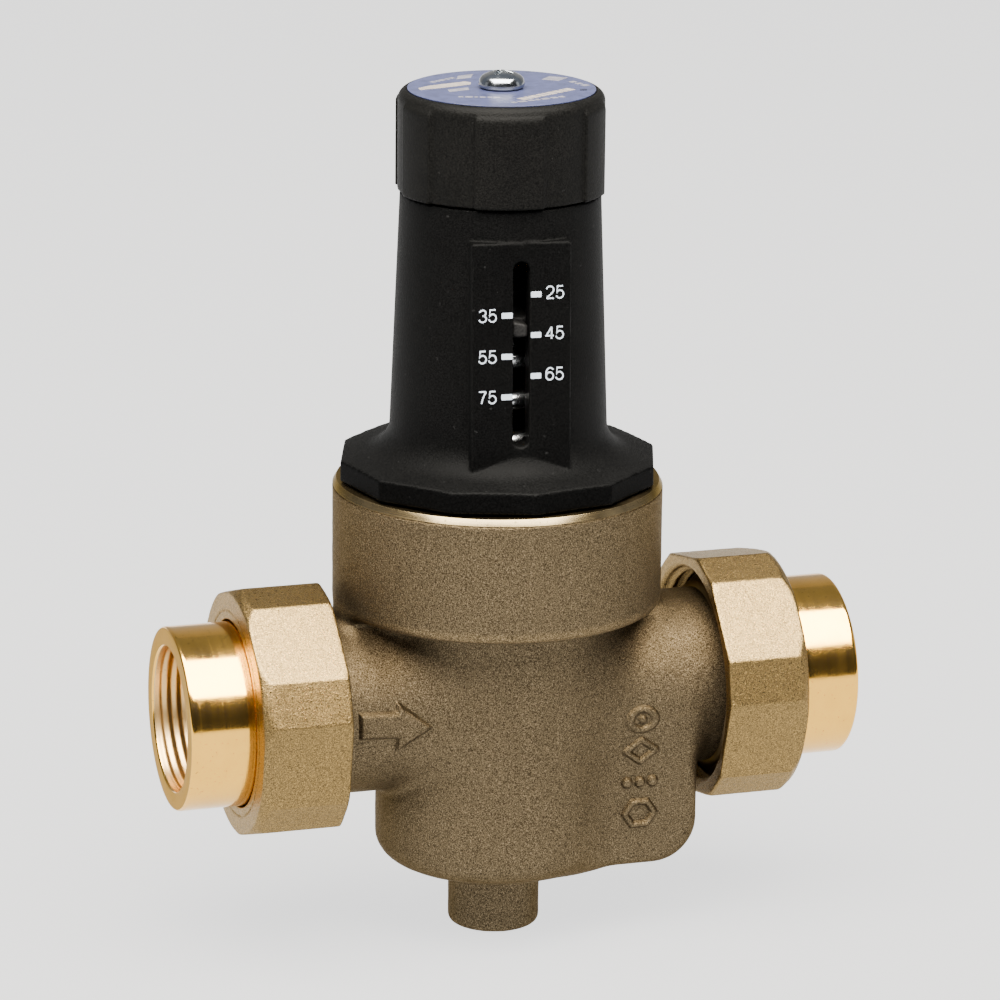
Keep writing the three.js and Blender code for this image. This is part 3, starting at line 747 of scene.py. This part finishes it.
place(cage_ob, "housing", ["spring_cage"])


def facing(u, n, z, yaw=YAW):
    """A point of the scale face: u across, n out from the axis, z up."""
    a = math.radians(yaw)
    x, y = u, -n
    return (x * math.cos(a) - y * math.sin(a), x * math.sin(a) + y * math.cos(a), z)


def face_n(z):
    return 20.42 - (z - 46.8) * (1.57 / 42.9)


def scale_marks():
    bm = bmesh.new()

    def slab(u0, u1, z0, z1, lift=0.035):
        g = 0.12
        outline = [(u0 + g, z0), (u1 - g, z0), (u1, z0 + g), (u1, z1 - g), (u1 - g, z1), (u0 + g, z1), (u0, z1 - g), (u0, z0 + g)]
        top = [bm.verts.new(Vector(facing(u, face_n(z) + lift, z)) * MM) for u, z in outline]
        low = [bm.verts.new(Vector(facing(u, face_n(z) - 0.05, z)) * MM) for u, z in outline]
        bm.faces.new(top)
        for i in range(len(top)):
            bm.faces.new([top[i], low[i], low[(i + 1) % len(top)], top[(i + 1) % len(top)]])
        bm.faces.new(low[::-1])

    for psi, z in ((25, 80.3), (45, 72.9), (65, 65.4)):
        slab(1.72, 3.62, z - 0.52, z + 0.52)
        number(bm, psi, 6.1, z + 0.27)
    for psi, z in ((35, 76.6), (55, 69.1), (75, 61.7)):
        slab(-3.66, -1.62, z - 0.52, z + 0.52)
        number(bm, psi, -6.20, z + 0.05)
    bmesh.ops.recalc_face_normals(bm, faces=bm.faces)
    me = bpy.data.meshes.new("scale_marks")
    bm.to_mesh(me)
    bm.free()
    ob = bpy.data.objects.new("scale_marks", me)
    bpy.context.scene.collection.objects.link(ob)
    me.materials.append(SCALE_INK)
    return ob


def arc(cx, cy, rx, ry, a0, a1, n=14):
    return [(cx + rx * math.cos(math.radians(a0 + (a1 - a0) * i / n)), cy + ry * math.sin(math.radians(a0 + (a1 - a0) * i / n))) for i in range(n + 1)]


# centre lines of the plain numerals, in a unit box
NUMERALS = {
    2: [arc(0.5, 0.72, 0.5, 0.28, 170, -25) + [(0.78, 0.44), (0.5, 0.29), (0.22, 0.17), (0.04, 0.0)], [(-0.02, 0.0), (1.03, 0.0)]],
    3: [arc(0.5, 0.755, 0.44, 0.245, 168, -88), arc(0.5, 0.27, 0.5, 0.27, 92, -168)],
    4: [[(0.74, 0.0), (0.74, 1.0)], [(0.74, 1.0), (0.0, 0.27), (1.05, 0.27)]],
    5: [[(0.93, 1.0), (0.17, 1.0), (0.06, 0.47)] + arc(0.48, 0.325, 0.52, 0.325, 138, -162)],
    6: [arc(0.5, 0.32, 0.5, 0.32, 180, 540, 26), arc(0.56, 0.56, 0.56, 0.44, 40, 180) + [(0.0, 0.32)]],
    7: [[(0.0, 1.0), (1.0, 1.0)], [(1.0, 1.0), (0.72, 0.68), (0.5, 0.36), (0.36, 0.0)]],
}


def number(bm, value, cu, cz):
    """A plain two-figure number of the pressure scale, as thin ink drawn in strokes."""
    h, w, gap, pen = 2.19, 1.30, 0.50, 0.26
    for k, figure in enumerate(divmod(value, 10)):
        u0 = cu + (k - 1) * (w + gap) + gap / 2 if k == 0 else cu + gap / 2
        for line in NUMERALS[figure]:
            pts = [Vector((u0 + x * w, cz + (y - 0.5) * h)) for x, y in line]
            n = len(pts)
            closed = (pts[0] - pts[-1]).length < 1e-6
            left, right = [], []
            for i in range(n):
                a = pts[i - 1] if i else (pts[-2] if closed else pts[0])
                b = pts[i + 1] if i < n - 1 else (pts[1] if closed else pts[-1])
                d1, d2 = (pts[i] - a), (b - pts[i])
                d1 = d1.normalized() if d1.length > 1e-9 else d2.normalized()
                d2 = d2.normalized() if d2.length > 1e-9 else d1
                t = (d1 + d2).normalized()
                k_ = pen / 2 / max(0.5, t.dot(d1))
                nrm = Vector((-t.y, t.x)) * k_
                left.append(pts[i] + nrm)
                right.append(pts[i] - nrm)
            tl = [bm.verts.new(Vector(facing(q.x, face_n(q.y) + 0.035, q.y)) * MM) for q in left]
            tr = [bm.verts.new(Vector(facing(q.x, face_n(q.y) + 0.035, q.y)) * MM) for q in right]
            ll = [bm.verts.new(Vector(facing(q.x, face_n(q.y) - 0.05, q.y)) * MM) for q in left]
            lr = [bm.verts.new(Vector(facing(q.x, face_n(q.y) - 0.05, q.y)) * MM) for q in right]
            for i in range(n - 1):
                bm.faces.new([tl[i], tr[i], tr[i + 1], tl[i + 1]])
                bm.faces.new([ll[i + 1], lr[i + 1], lr[i], ll[i]])
                bm.faces.new([tl[i + 1], ll[i + 1], ll[i], tl[i]])
                bm.faces.new([tr[i], lr[i], lr[i + 1], tr[i + 1]])
            bm.faces.new([tl[0], ll[0], lr[0], tr[0]])
            bm.faces.new([tr[-1], lr[-1], ll[-1], tl[-1]])


place(scale_marks(), "housing")

# --------------------------------------------------------------------------
# knob, label, screw
# --------------------------------------------------------------------------
KNOB_YAW = -102.3


def knob(P):
    z = P[:, 2]
    x, y = P[:, 0], P[:, 1]
    rz = np.hypot(x, y)
    th = np.degrees(np.arctan2(y, x))
    d = box2(rz, z - (95.1 + 114.1) / 2 + 5, 18.76, (114.1 - 95.1) / 2 + 5, 2.0)
    d = np.maximum(d, 95.75 - z)
    for k in range(6):
        half = (19.5, 13.0)[k % 2]
        c = KNOB_YAW + 60 * k
        a = np.abs((th - c + 180) % 360 - 180) - half
        side = np.radians(a) * np.maximum(rz, 10)
        pad = r_inter(r_inter(box2(rz, z - 99.75 + 6, 19.28, 13.35 + 6, 1.9), side, 0.28), np.maximum(95.65 - z, 16 - rz), 0.2)
        d = np.minimum(d, pad)
    d = np.maximum(d, -np.maximum(rz - 17.65, z - 110.2))
    d = np.maximum(d, -np.maximum(rz - 17.2, 113.75 - z))
    return np.maximum(d, -(rz - 2.2))


place(net_object("knob_cap", knob, (-20, -20, 94.3), (20, 20, 115), 0.4, BLACK_KNOB), "knob", ["adjusting_knob"])


def flat_piece(name, outline, z0, z1, mat, holes=()):
    """A thin plate from an outline in X,Y, with its top edge eased."""
    bm = bmesh.new()
    rings = []
    for z, inset in ((z0, 0.0), (z1 - 0.01, 0.0), (z1, 0.02)):
        cx = sum(p[0] for p in outline) / len(outline)
        cy = sum(p[1] for p in outline) / len(outline)
        ring = []
        for x, y in outline:
            l = math.hypot(x - cx, y - cy) or 1
            ring.append(bm.verts.new(Vector((x - (x - cx) / l * inset, y - (y - cy) / l * inset, z)) * MM))
        rings.append(ring)
    n = len(outline)
    for a, b in zip(rings, rings[1:]):
        for i in range(n):
            bm.faces.new([a[i], a[(i + 1) % n], b[(i + 1) % n], b[i]])
    bm.faces.new(rings[-1])
    bm.faces.new(rings[0][::-1])
    bmesh.ops.recalc_face_normals(bm, faces=bm.faces)
    me = bpy.data.meshes.new(name)
    bm.to_mesh(me)
    bm.free()
    ob = bpy.data.objects.new(name, me)
    bpy.context.scene.collection.objects.link(ob)
    me.materials.append(mat)
    return ob


disc = turned([(2.3, 113.78), (17.05, 113.78), (17.05, 114.15, 0.06), (2.3, 114.15, 0.05)], 200, "z", "knob_label_disc", LABEL)
place(disc, "knob", ["knob_label"])


def arc_band(r0, r1, a0, a1, n=24):
    pts = [(r1 * math.cos(math.radians(a0 + (a1 - a0) * i / n)), r1 * math.sin(math.radians(a0 + (a1 - a0) * i / n))) for i in range(n + 1)]
    pts += [(r0 * math.cos(math.radians(a1 + (a0 - a1) * i / n)), r0 * math.sin(math.radians(a1 + (a0 - a1) * i / n))) for i in range(n + 1)]
    return pts


def label_art(name, shapes, mat, z1=114.185):
    """Printed patches on the label, joined into one piece."""
    parts = []
    for i, s in enumerate(shapes):
        parts.append(flat_piece(f"{name}_{i}", s, 114.12, z1, mat))
    bm = bmesh.new()
    for p in parts:
        bm.from_mesh(p.data)
        bpy.data.objects.remove(p)
    me = bpy.data.meshes.new(name)
    bm.to_mesh(me)
    bm.free()
    ob = bpy.data.objects.new(name, me)
    bpy.context.scene.collection.objects.link(ob)
    me.materials.append(mat)
    place(ob, "knob")


def tilted(cx, cy, w, h, deg):
    a = math.radians(deg)
    return [(cx + u * math.cos(a) - v * math.sin(a), cy + u * math.sin(a) + v * math.cos(a)) for u, v in ((-w / 2, -h / 2), (w / 2, -h / 2), (w / 2, h / 2), (-w / 2, h / 2))]


def bars(a, b, depth, lengths, gap=0.35):
    """A row of plain bars, as printing too small to read, from point a to point b."""
    a, b = Vector(a), Vector(b)
    d = (b - a).normalized()
    q = Vector((-d.y, d.x)) * depth / 2
    total = sum(lengths) + gap * (len(lengths) - 1)
    k = (b - a).length / total
    out, t = [], 0.0
    for w_ in lengths:
        p0, p1 = a + d * t * k, a + d * (t + w_) * k
        out.append([tuple(p0 - q), tuple(p1 - q), tuple(p1 + q), tuple(p0 + q)])
        t += w_ + gap
    return out


label_art("label_print_cream", [[(-14.9, 1.6), (-10.2, 2.6), (-4.6, 4.3), (-3.9, 6.0), (-4.6, 7.2), (-12.1, 5.0), (-14.7, 3.3)]] +
          bars((0.0, -11.2), (11.9, -4.2), 1.9, [1.2, 0.8, 1.5, 1.0, 0.7, 1.4, 1.1, 0.9, 1.3], 0.3), LABEL_CREAM)
label_art("label_print_pale", [[(-10.3, -1.6), (-6.2, -0.4), (-5.8, 1.8), (-10.0, 0.6)], [(9.4, 5.6), (12.0, 3.6), (14.6, 6.0), (11.7, 8.2)], [(-5.6, 9.6), (-2.6, 10.4), (-1.2, 13.6), (-4.4, 12.6)]] +
          bars((-10.8, 8.0), (-5.6, 11.2), 1.1, [1.0, 0.6, 1.3, 0.8, 1.0]) +
          bars((-10.0, -6.1), (-3.0, -8.6), 1.0, [0.9, 1.4, 0.6, 1.1, 0.8, 1.2]) +
          bars((-2.4, -13.6), (8.4, -10.6), 1.2, [0.7, 1.3, 0.9, 0.6, 1.2, 1.0, 0.8]) +
          bars((14.0, 2.6), (15.6, -2.2), 1.3, [0.6, 0.5, 0.7]), LABEL_PALE)
label_art("label_print_dark", [arc_band(14.2, 15.4, -25, -19, 6)], LABEL_DARK)


def screw_head(P):
    x, y, z = P.T
    rz = np.hypot(x, y)
    ball = np.sqrt(rz * rz + (z - 110.6) ** 2) - 6.78
    dome = r_inter(np.maximum(ball, 114.16 - z), rz - 4.2, 0.75)
    a, b = (x + y) / math.sqrt(2), (x - y) / math.sqrt(2)
    depth = 115.9 + 0.35 * rz
    cross = np.minimum(np.maximum(np.abs(a) - 0.45, np.abs(b) - 2.1), np.maximum(np.abs(b) - 0.45, np.abs(a) - 2.1))
    cross = np.maximum(cross, depth - z)
    return r_cut(dome, cross, 0.12)


place(net_object("screw_dome", screw_head, (-4.6, -4.6, 113.8), (4.6, 4.6, 117.7), 0.13, ZINC), "knob", ["knob_screw"])
shank = turned([(0, 105.3), (1.6, 105.3), (1.9, 105.8), (1.9, 114.3), (0, 114.3)], 48, "z", "screw_shank", ZINC,
               lambda H, T, R: np.where(R > 1.85, -0.18 + 0.18 * tooth(H / 0.7 - T / (2 * math.pi)), 0), True)
place(shank, "knob")

# --------------------------------------------------------------------------
# spindle, indicator, spring
# --------------------------------------------------------------------------
rows = [(0, 54), (4.1, 54.0), (4.4, 54.3)] + [(4.1, 54.6 + 44.0 * i / 330) for i in range(331)] + [(4.2, 99.2), (4.2, 100, 0.2), (8, 100, 0.3), (8, 102.6, 0.3), (5, 102.6), (5, 112.0, 0.4), (2.1, 112.2), (2.1, 104.7), (0, 104.5)]
spindle = turned(rows, 72, "z", "spindle", TURNED_Z,
                 lambda H, T, R: np.where((R > 4.05) & (R < 4.15) & (H > 54.5) & (H < 98.8), 0.85 * tooth(H / 1.865 + T / (2 * math.pi), 0.16), 0))
place(spindle, "knob", ["adjusting_spindle"])


def pointer(P):
    z = P[:, 2]
    u, v = spin(P, YAW)
    rz = np.hypot(P[:, 0], P[:, 1])
    hub = r_inter(rz - 9.3, span(z, 64.2, 75.2), 0.5)
    top = r_inter(rz - 8.4, span(z, 70, 79.2), 0.6)
    disc_ = r_inter(rz - 15.2, span(z, 72.25, 75.2), 0.35)
    tip = np.maximum(np.maximum(np.abs(u) - 1.38, span(z, 72.3, 75.2 - 0.3 * np.clip(u + 1.3, 0, 2.6))), np.maximum(-v - 18.6, v + 13))
    tip = r_inter(tip, -v - 18.5, 0.2)
    d = np.minimum(np.minimum(hub, top), np.minimum(disc_, tip))
    return np.maximum(d, -(rz - 5.15))


place(net_object("indicator", pointer, (-16, -19.5, 63.4), (16, 16, 80), 0.4, GREY), "spring_nut", ["indicator_nut"])


def range_spring(name, t0, t1):
    """A length of the range spring: round wire on a helix with closed, ground ends."""
    z0, z1, wire, coil, end = 34.3, 72.15, 1.75, 11.45, 3.7
    active = 3.465
    turns = active + 2
    pitch = (z1 - z0 - 2 * wire - 0.1 - 2 * end) / active
    n, k = int(80 * (t1 - t0)), 20
    V = np.empty((n + 1, k, 3))
    for i in range(n + 1):
        t = t0 + i / n * (t1 - t0)
        a = 2 * math.pi * t + math.radians(98.7)
        z = z0 + wire + 0.05
        z += t * end if t < 1 else end + (min(t, turns - 1) - 1) * pitch
        if t > turns - 1:
            z += (t - turns + 1) * end
        c = np.array((coil * math.cos(a), coil * math.sin(a), z))
        out = np.array((math.cos(a), math.sin(a), 0))
        tan = np.array((-math.sin(a), math.cos(a), pitch / (2 * math.pi * coil)))
        tan /= np.linalg.norm(tan)
        up_ = np.cross(out, tan)
        for j in range(k):
            w = 2 * math.pi * j / k
            V[i, j] = c + wire * (math.cos(w) * out + math.sin(w) * up_)
    V[:, :, 2] = np.clip(V[:, :, 2], z0 + 0.35, z1 - 0.35)
    idx = np.arange((n + 1) * k).reshape(n + 1, k)
    F = [list(q) for q in np.concatenate([np.stack([idx[i], idx[i + 1], np.roll(idx[i + 1], -1), np.roll(idx[i], -1)], 1) for i in range(n)])]
    F.append(list(idx[0]))
    F.append(list(idx[-1][::-1]))
    ob = to_object(name, V.reshape(-1, 3), F, SPRING)
    tidy(ob)
    return ob


# The range spring is drawn in two lengths, the lower and the upper coils.
lower = range_spring("range_spring_lower", 0.0, 2.73)
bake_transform(lower)
upper = range_spring("range_spring_upper", 2.73, 5.465)
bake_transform(upper)
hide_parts("range_spring")


def diaphragm_sector(k, count):
    """One sector of the rolling diaphragm, between its clamped rim and the plunger."""
    prof = [(3.3, 30.1), (10, 30.1), (14.0, 30.1), (15.0, 30.5), (16.0, 31.6), (17.1, 33.0), (18.2, 33.6), (19.3, 33.0), (20.4, 31.6), (21.2, 30.5), (22.2, 30.1), (26.7, 30.1),
            (26.7, 32.15), (22.6, 32.15), (21.6, 32.7), (20.5, 34.1), (19.5, 35.2), (18.2, 35.6), (16.9, 35.2), (15.8, 34.1), (14.9, 32.7), (14.2, 32.1), (10, 32.1), (3.3, 32.1)]
    n = 6
    step = 360 / count
    m = len(prof)
    V = []
    for i in range(n + 1):
        a = math.radians(k * step + step * i / n)
        V += [(r * math.cos(a), r * math.sin(a), z) for r, z in prof]
    F = []
    for i in range(n):
        for j in range(m):
            a, b = i * m + j, i * m + (j + 1) % m
            F.append([a, b, b + m, a + m])
    F.append(list(range(m))[::-1])
    F.append([n * m + j for j in range(m)])
    ob = to_object(f"diaphragm_sector_{k:02d}", V, F, RUBBER)
    tidy(ob)
    sharpen(ob, 40)
    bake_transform(ob)
    return ob


sectors = [diaphragm_sector(k, 12) for k in range(12)]
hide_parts("diaphragm")

# --------------------------------------------------------------------------
# unions
# --------------------------------------------------------------------------
def tailpiece(prefix, sign, x_end, body_name):
    """Turned tailpiece: flange, barrel, and a tapered pipe thread in its mouth."""
    pitch, depth = 1.814, 0.26
    f0, f1, tip = 2.05, 5.05, 20.5
    rows = [(11, f0 + 0.3), (11.3, f0), (18.3, f0), (18.6, f0 + 0.3), (18.6, f1 - 0.3), (18.3, f1), (17.35, f1), (17.0, f1 + 0.35), (17.0, f1 + 0.5), (17.0, f1 + 4), (17.0, tip - 4),
            (17.0, tip - 0.9), (17.0, tip - 0.75), (16.95, tip - 0.35), (16.7, tip - 0.08), (16.3, tip), (13.8, tip), (13.6, tip - 0.06), (13.38, tip - 0.35), (13.32, tip - 0.6)]
    m = 150
    L = 13.6
    rows += [(13.3 - (i / m) * L / 32, tip - 1.0 - L * i / m) for i in range(m + 1)]
    rows += [(11.6, tip - 15.0), (11.0, tip - 15.6)]

    def wob(H, T, R):
        s = (H - x_end) / sign
        inside = (R > 12.7) & (R < 13.32)
        run = smooth01(tip - s, 0.8, 1.9) * (1 - smooth01(tip - s, 13.2, 14.6))
        return np.where(inside, -depth * tooth((tip - s) / pitch - T / (2 * math.pi) * sign, 0.14) * run, 0)

    ob = turned([(r, x_end + sign * h) for r, h in rows], 176, "x", prefix + "_tail", TURNED_X, wob)
    sharpen(ob, 50)
    ob.data.materials.append(BORE_X)
    ob.data.materials.append(TIP_X)
    for poly in ob.data.polygons:
        c = poly.center
        r_ = math.hypot(c.y, c.z)
        if r_ < 0.01345:
            poly.material_index = 1
        elif (c.x / MM - x_end) * sign > tip - 0.06:
            poly.material_index = 2
    place(ob, body_name, [prefix + "_tailpiece"])
    g = turned([(11.7, x_end + sign * 0.06, 0.25), (18.4, x_end + sign * 0.06, 0.3), (18.4, x_end + sign * 2.0, 0.3), (11.7, x_end + sign * 2.0, 0.25)], 128, "x", prefix + "_gasket", FIBRE)
    place(g, body_name, [prefix + "_union_gasket"])


def union_nut(prefix, sign, x_end, body_name, short_deg, backset):
    """Twelve-sided nut: a hexagon whose corners are cut to narrow flats."""
    front, f1 = 8.5, 5.05
    long_ap, short_ap = 22.42, 23.47
    pitch = 2.309

    def f(P):
        s = (P[:, 0] - x_end) * sign
        y, z = P[:, 1], P[:, 2]
        r = np.hypot(y, z)
        # angles from -Y towards +Z
        ang = []
        ap = []
        for k in range(6):
            ang.append(math.radians(short_deg + 60 * k)); ap.append(short_ap)
            ang.append(math.radians(short_deg + 30 + 60 * k)); ap.append(long_ap)
        prism = flats(-y, z, ap, ang)
        slab = span(s, -backset, front)
        cone_f = ((r - 22.55) * 0.80 + (s - front) * 0.60)
        cone_b = ((r - 23.35) * 0.62 + (-backset - s) * 0.78)
        d = r_inter(prism, slab, 0.35)
        d = r_inter(d, np.maximum(cone_f, cone_b), 0.28)
        bore = 17.3
        hole = np.where(s > f1 + 0.12, r - bore, 1.0)
        hole = np.maximum(r - bore, -50 - s)
        th = np.arctan2(z, y)
        thread = 20.35 - 1.0 * tooth(s / pitch - th / (2 * math.pi) * sign, 0.16)
        entry = 20.9 - np.maximum(s + backset, 0) * 0.9
        inner = np.maximum(r - np.maximum(thread, np.minimum(entry, 21.2)), s - (f1 + 0.1))
        relief_ = np.maximum(r - 20.5, span(s, 1.2, f1 + 0.1))
        void = np.minimum(hole, np.minimum(inner, relief_))
        d = r_cut(d, void, 0.22)
        # a fine turned step on the front face
        groove = np.hypot(r - 19.0, (s - front)) - 0.16
        return np.maximum(d, -groove)

    x0, x1 = sorted((x_end - sign * (backset + 0.7), x_end + sign * 9.2))
    ob = net_object(prefix + "_nut", f, (x0, -24.8, -24.8), (x1, 24.8, 24.8), 0.38, SHOT, rough=(0.07, 1.8))
    place(ob, body_name, [prefix + "_union_nut"])


tailpiece("inlet", -1, -42.0, "inlet_tail")
tailpiece("outlet", 1, 45.6, "outlet_tail")
union_nut("inlet", -1, -42.0, "inlet_nut", 19.5, 8.15)
union_nut("outlet", 1, 45.6, "outlet_nut", 12.0, 7.5)

# --------------------------------------------------------------------------
# inner pieces: the CAD's own solids, with proper finishes
# --------------------------------------------------------------------------
FINISH = {
    "cage_slip_ring": WHITE_ACETAL, "seat_cartridge": WHITE_ACETAL, "valve_seat": STAINLESS,
    "cartridge_upper_seal": RUBBER, "cartridge_lower_seal": RUBBER, "strainer_screen": STAINLESS, "plunger_stem": TURNED_Z,
    "diaphragm_lower_washer": TURNED_Z, "diaphragm_plate": ZINC, "plunger_top_nut": ZINC, "disc_nut": STAINLESS,
    "plunger_seal": RUBBER, "disc_holder": TURNED_Z, "seat_disc": RUBBER, "thrust_washer": WHITE_ACETAL,
}
for n, m in FINISH.items():
    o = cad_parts[n]
    if o.material_slots:
        for s in o.material_slots:
            s.link = "OBJECT"
            s.material = m
    else:
        o.data.materials.append(m)

# --------------------------------------------------------------------------
# stage and light
# --------------------------------------------------------------------------
def stage():
    """A pale floor that sweeps up behind the object."""
    y0, y1, n = -2.2, 1.1, 40
    prof = [(-2.4, 0.0), (1.15, 0.0)]
    R = 0.5
    for i in range(1, n + 1):
        a = math.pi / 2 * i / n
        prof.append((1.15 + R * math.sin(a), R - R * math.cos(a)))
    prof.append((1.15 + R, 1.6))
    V, F = [], []
    m = len(prof)
    a = math.radians(17.649)
    for s in (-2.6, 2.6):
        for d, z in prof:
            V.append(((s * math.cos(a) + d * math.sin(a)), (-s * math.sin(a) + d * math.cos(a)), z - 0.0452))
    for i in range(m - 1):
        F.append([i, i + 1, m + i + 1, m + i])
    me = bpy.data.meshes.new("stage")
    me.from_pydata(V, [], F)
    me.update()
    me.polygons.foreach_set("use_smooth", np.ones(len(me.polygons), dtype=bool))
    ob = bpy.data.objects.new("stage", me)
    bpy.context.scene.collection.objects.link(ob)
    m_, nt, b = material("stage_white")
    v = coords(nt)
    nt.links.new(ramp(nt, noise_of(nt, v, 9.0, 2.0), [(0.3, grey(0.078)), (0.7, grey(0.082))]), b.inputs["Base Color"])
    b.inputs["Roughness"].default_value = 0.9
    b.inputs["Specular IOR Level"].default_value = 0.0
    b.inputs["Emission Color"].default_value = (1, 1, 1, 1)
    sep = nt.nodes.new("ShaderNodeSeparateXYZ")
    nt.links.new(v, sep.inputs[0])
    nt.links.new(maprange(nt, sep.outputs[2], -0.03, 0.25, 1.65, 0.24, True), b.inputs["Emission Strength"])
    me.materials.append(m_)


stage()


def area(name, loc, aim, size, power, size_y=None, colour=(1, 1, 1), spread=180):
    l = bpy.data.lights.new(name, "AREA")
    l.shape = "RECTANGLE"
    l.size = size
    l.size_y = size_y or size
    l.energy = power
    l.color = colour
    l.spread = math.radians(spread)
    o = bpy.data.objects.new(name, l)
    o.location = loc
    o.rotation_euler = (Vector(aim) - Vector(loc)).to_track_quat("-Z", "Y").to_euler()
    bpy.context.scene.collection.objects.link(o)
    return o


def rel(side, front, z):
    """A point beside, in front of (towards the camera) and above the object."""
    return (side * math.cos(AZ) - front * math.sin(AZ), -side * math.sin(AZ) - front * math.cos(AZ), z)


# a wide overhead softbox from the zenith down to about 43 degrees above the horizon, in front
def softbox(name, elev, dist, width, depth, radiance, colour=(1, 1, 1)):
    e = math.radians(elev)
    loc = rel(0.0, dist * math.cos(e), dist * math.sin(e) + 0.02)
    area(name, loc, (0, 0, 0.02), width, radiance * math.pi * width * depth, depth, colour)


softbox("overhead", 69.5, 1.3, 2.0, 1.26, 30.0, (1.0, 0.955, 0.875))
area("side_left", rel(-1.3, 0.15, 0.25), (0, 0, 0.03), 0.35, 0.5, 0.9)
area("side_right", rel(1.3, 0.0, 0.3), (0, 0, 0.03), 0.35, 0.8, 0.9)

w = bpy.data.worlds.new("world")
w.use_nodes = True
bg = w.node_tree.nodes["Background"] if "Background" in w.node_tree.nodes else w.node_tree.nodes.new("ShaderNodeBackground")
wt = w.node_tree
tc = wt.nodes.new("ShaderNodeTexCoord")
dot = wt.nodes.new("ShaderNodeVectorMath")
dot.operation = "DOT_PRODUCT"
dot.inputs[1].default_value = (math.sin(AZ), math.cos(AZ), 0)
wt.links.new(tc.outputs["Generated"], dot.inputs[0])
bg.inputs[0].default_value = (0.86, 0.94, 1.10, 1)
wt.links.new(maprange(wt, dot.outputs["Value"], -0.03, 0.16, 0.05, 0.30), bg.inputs[1])
bpy.context.scene.world = w
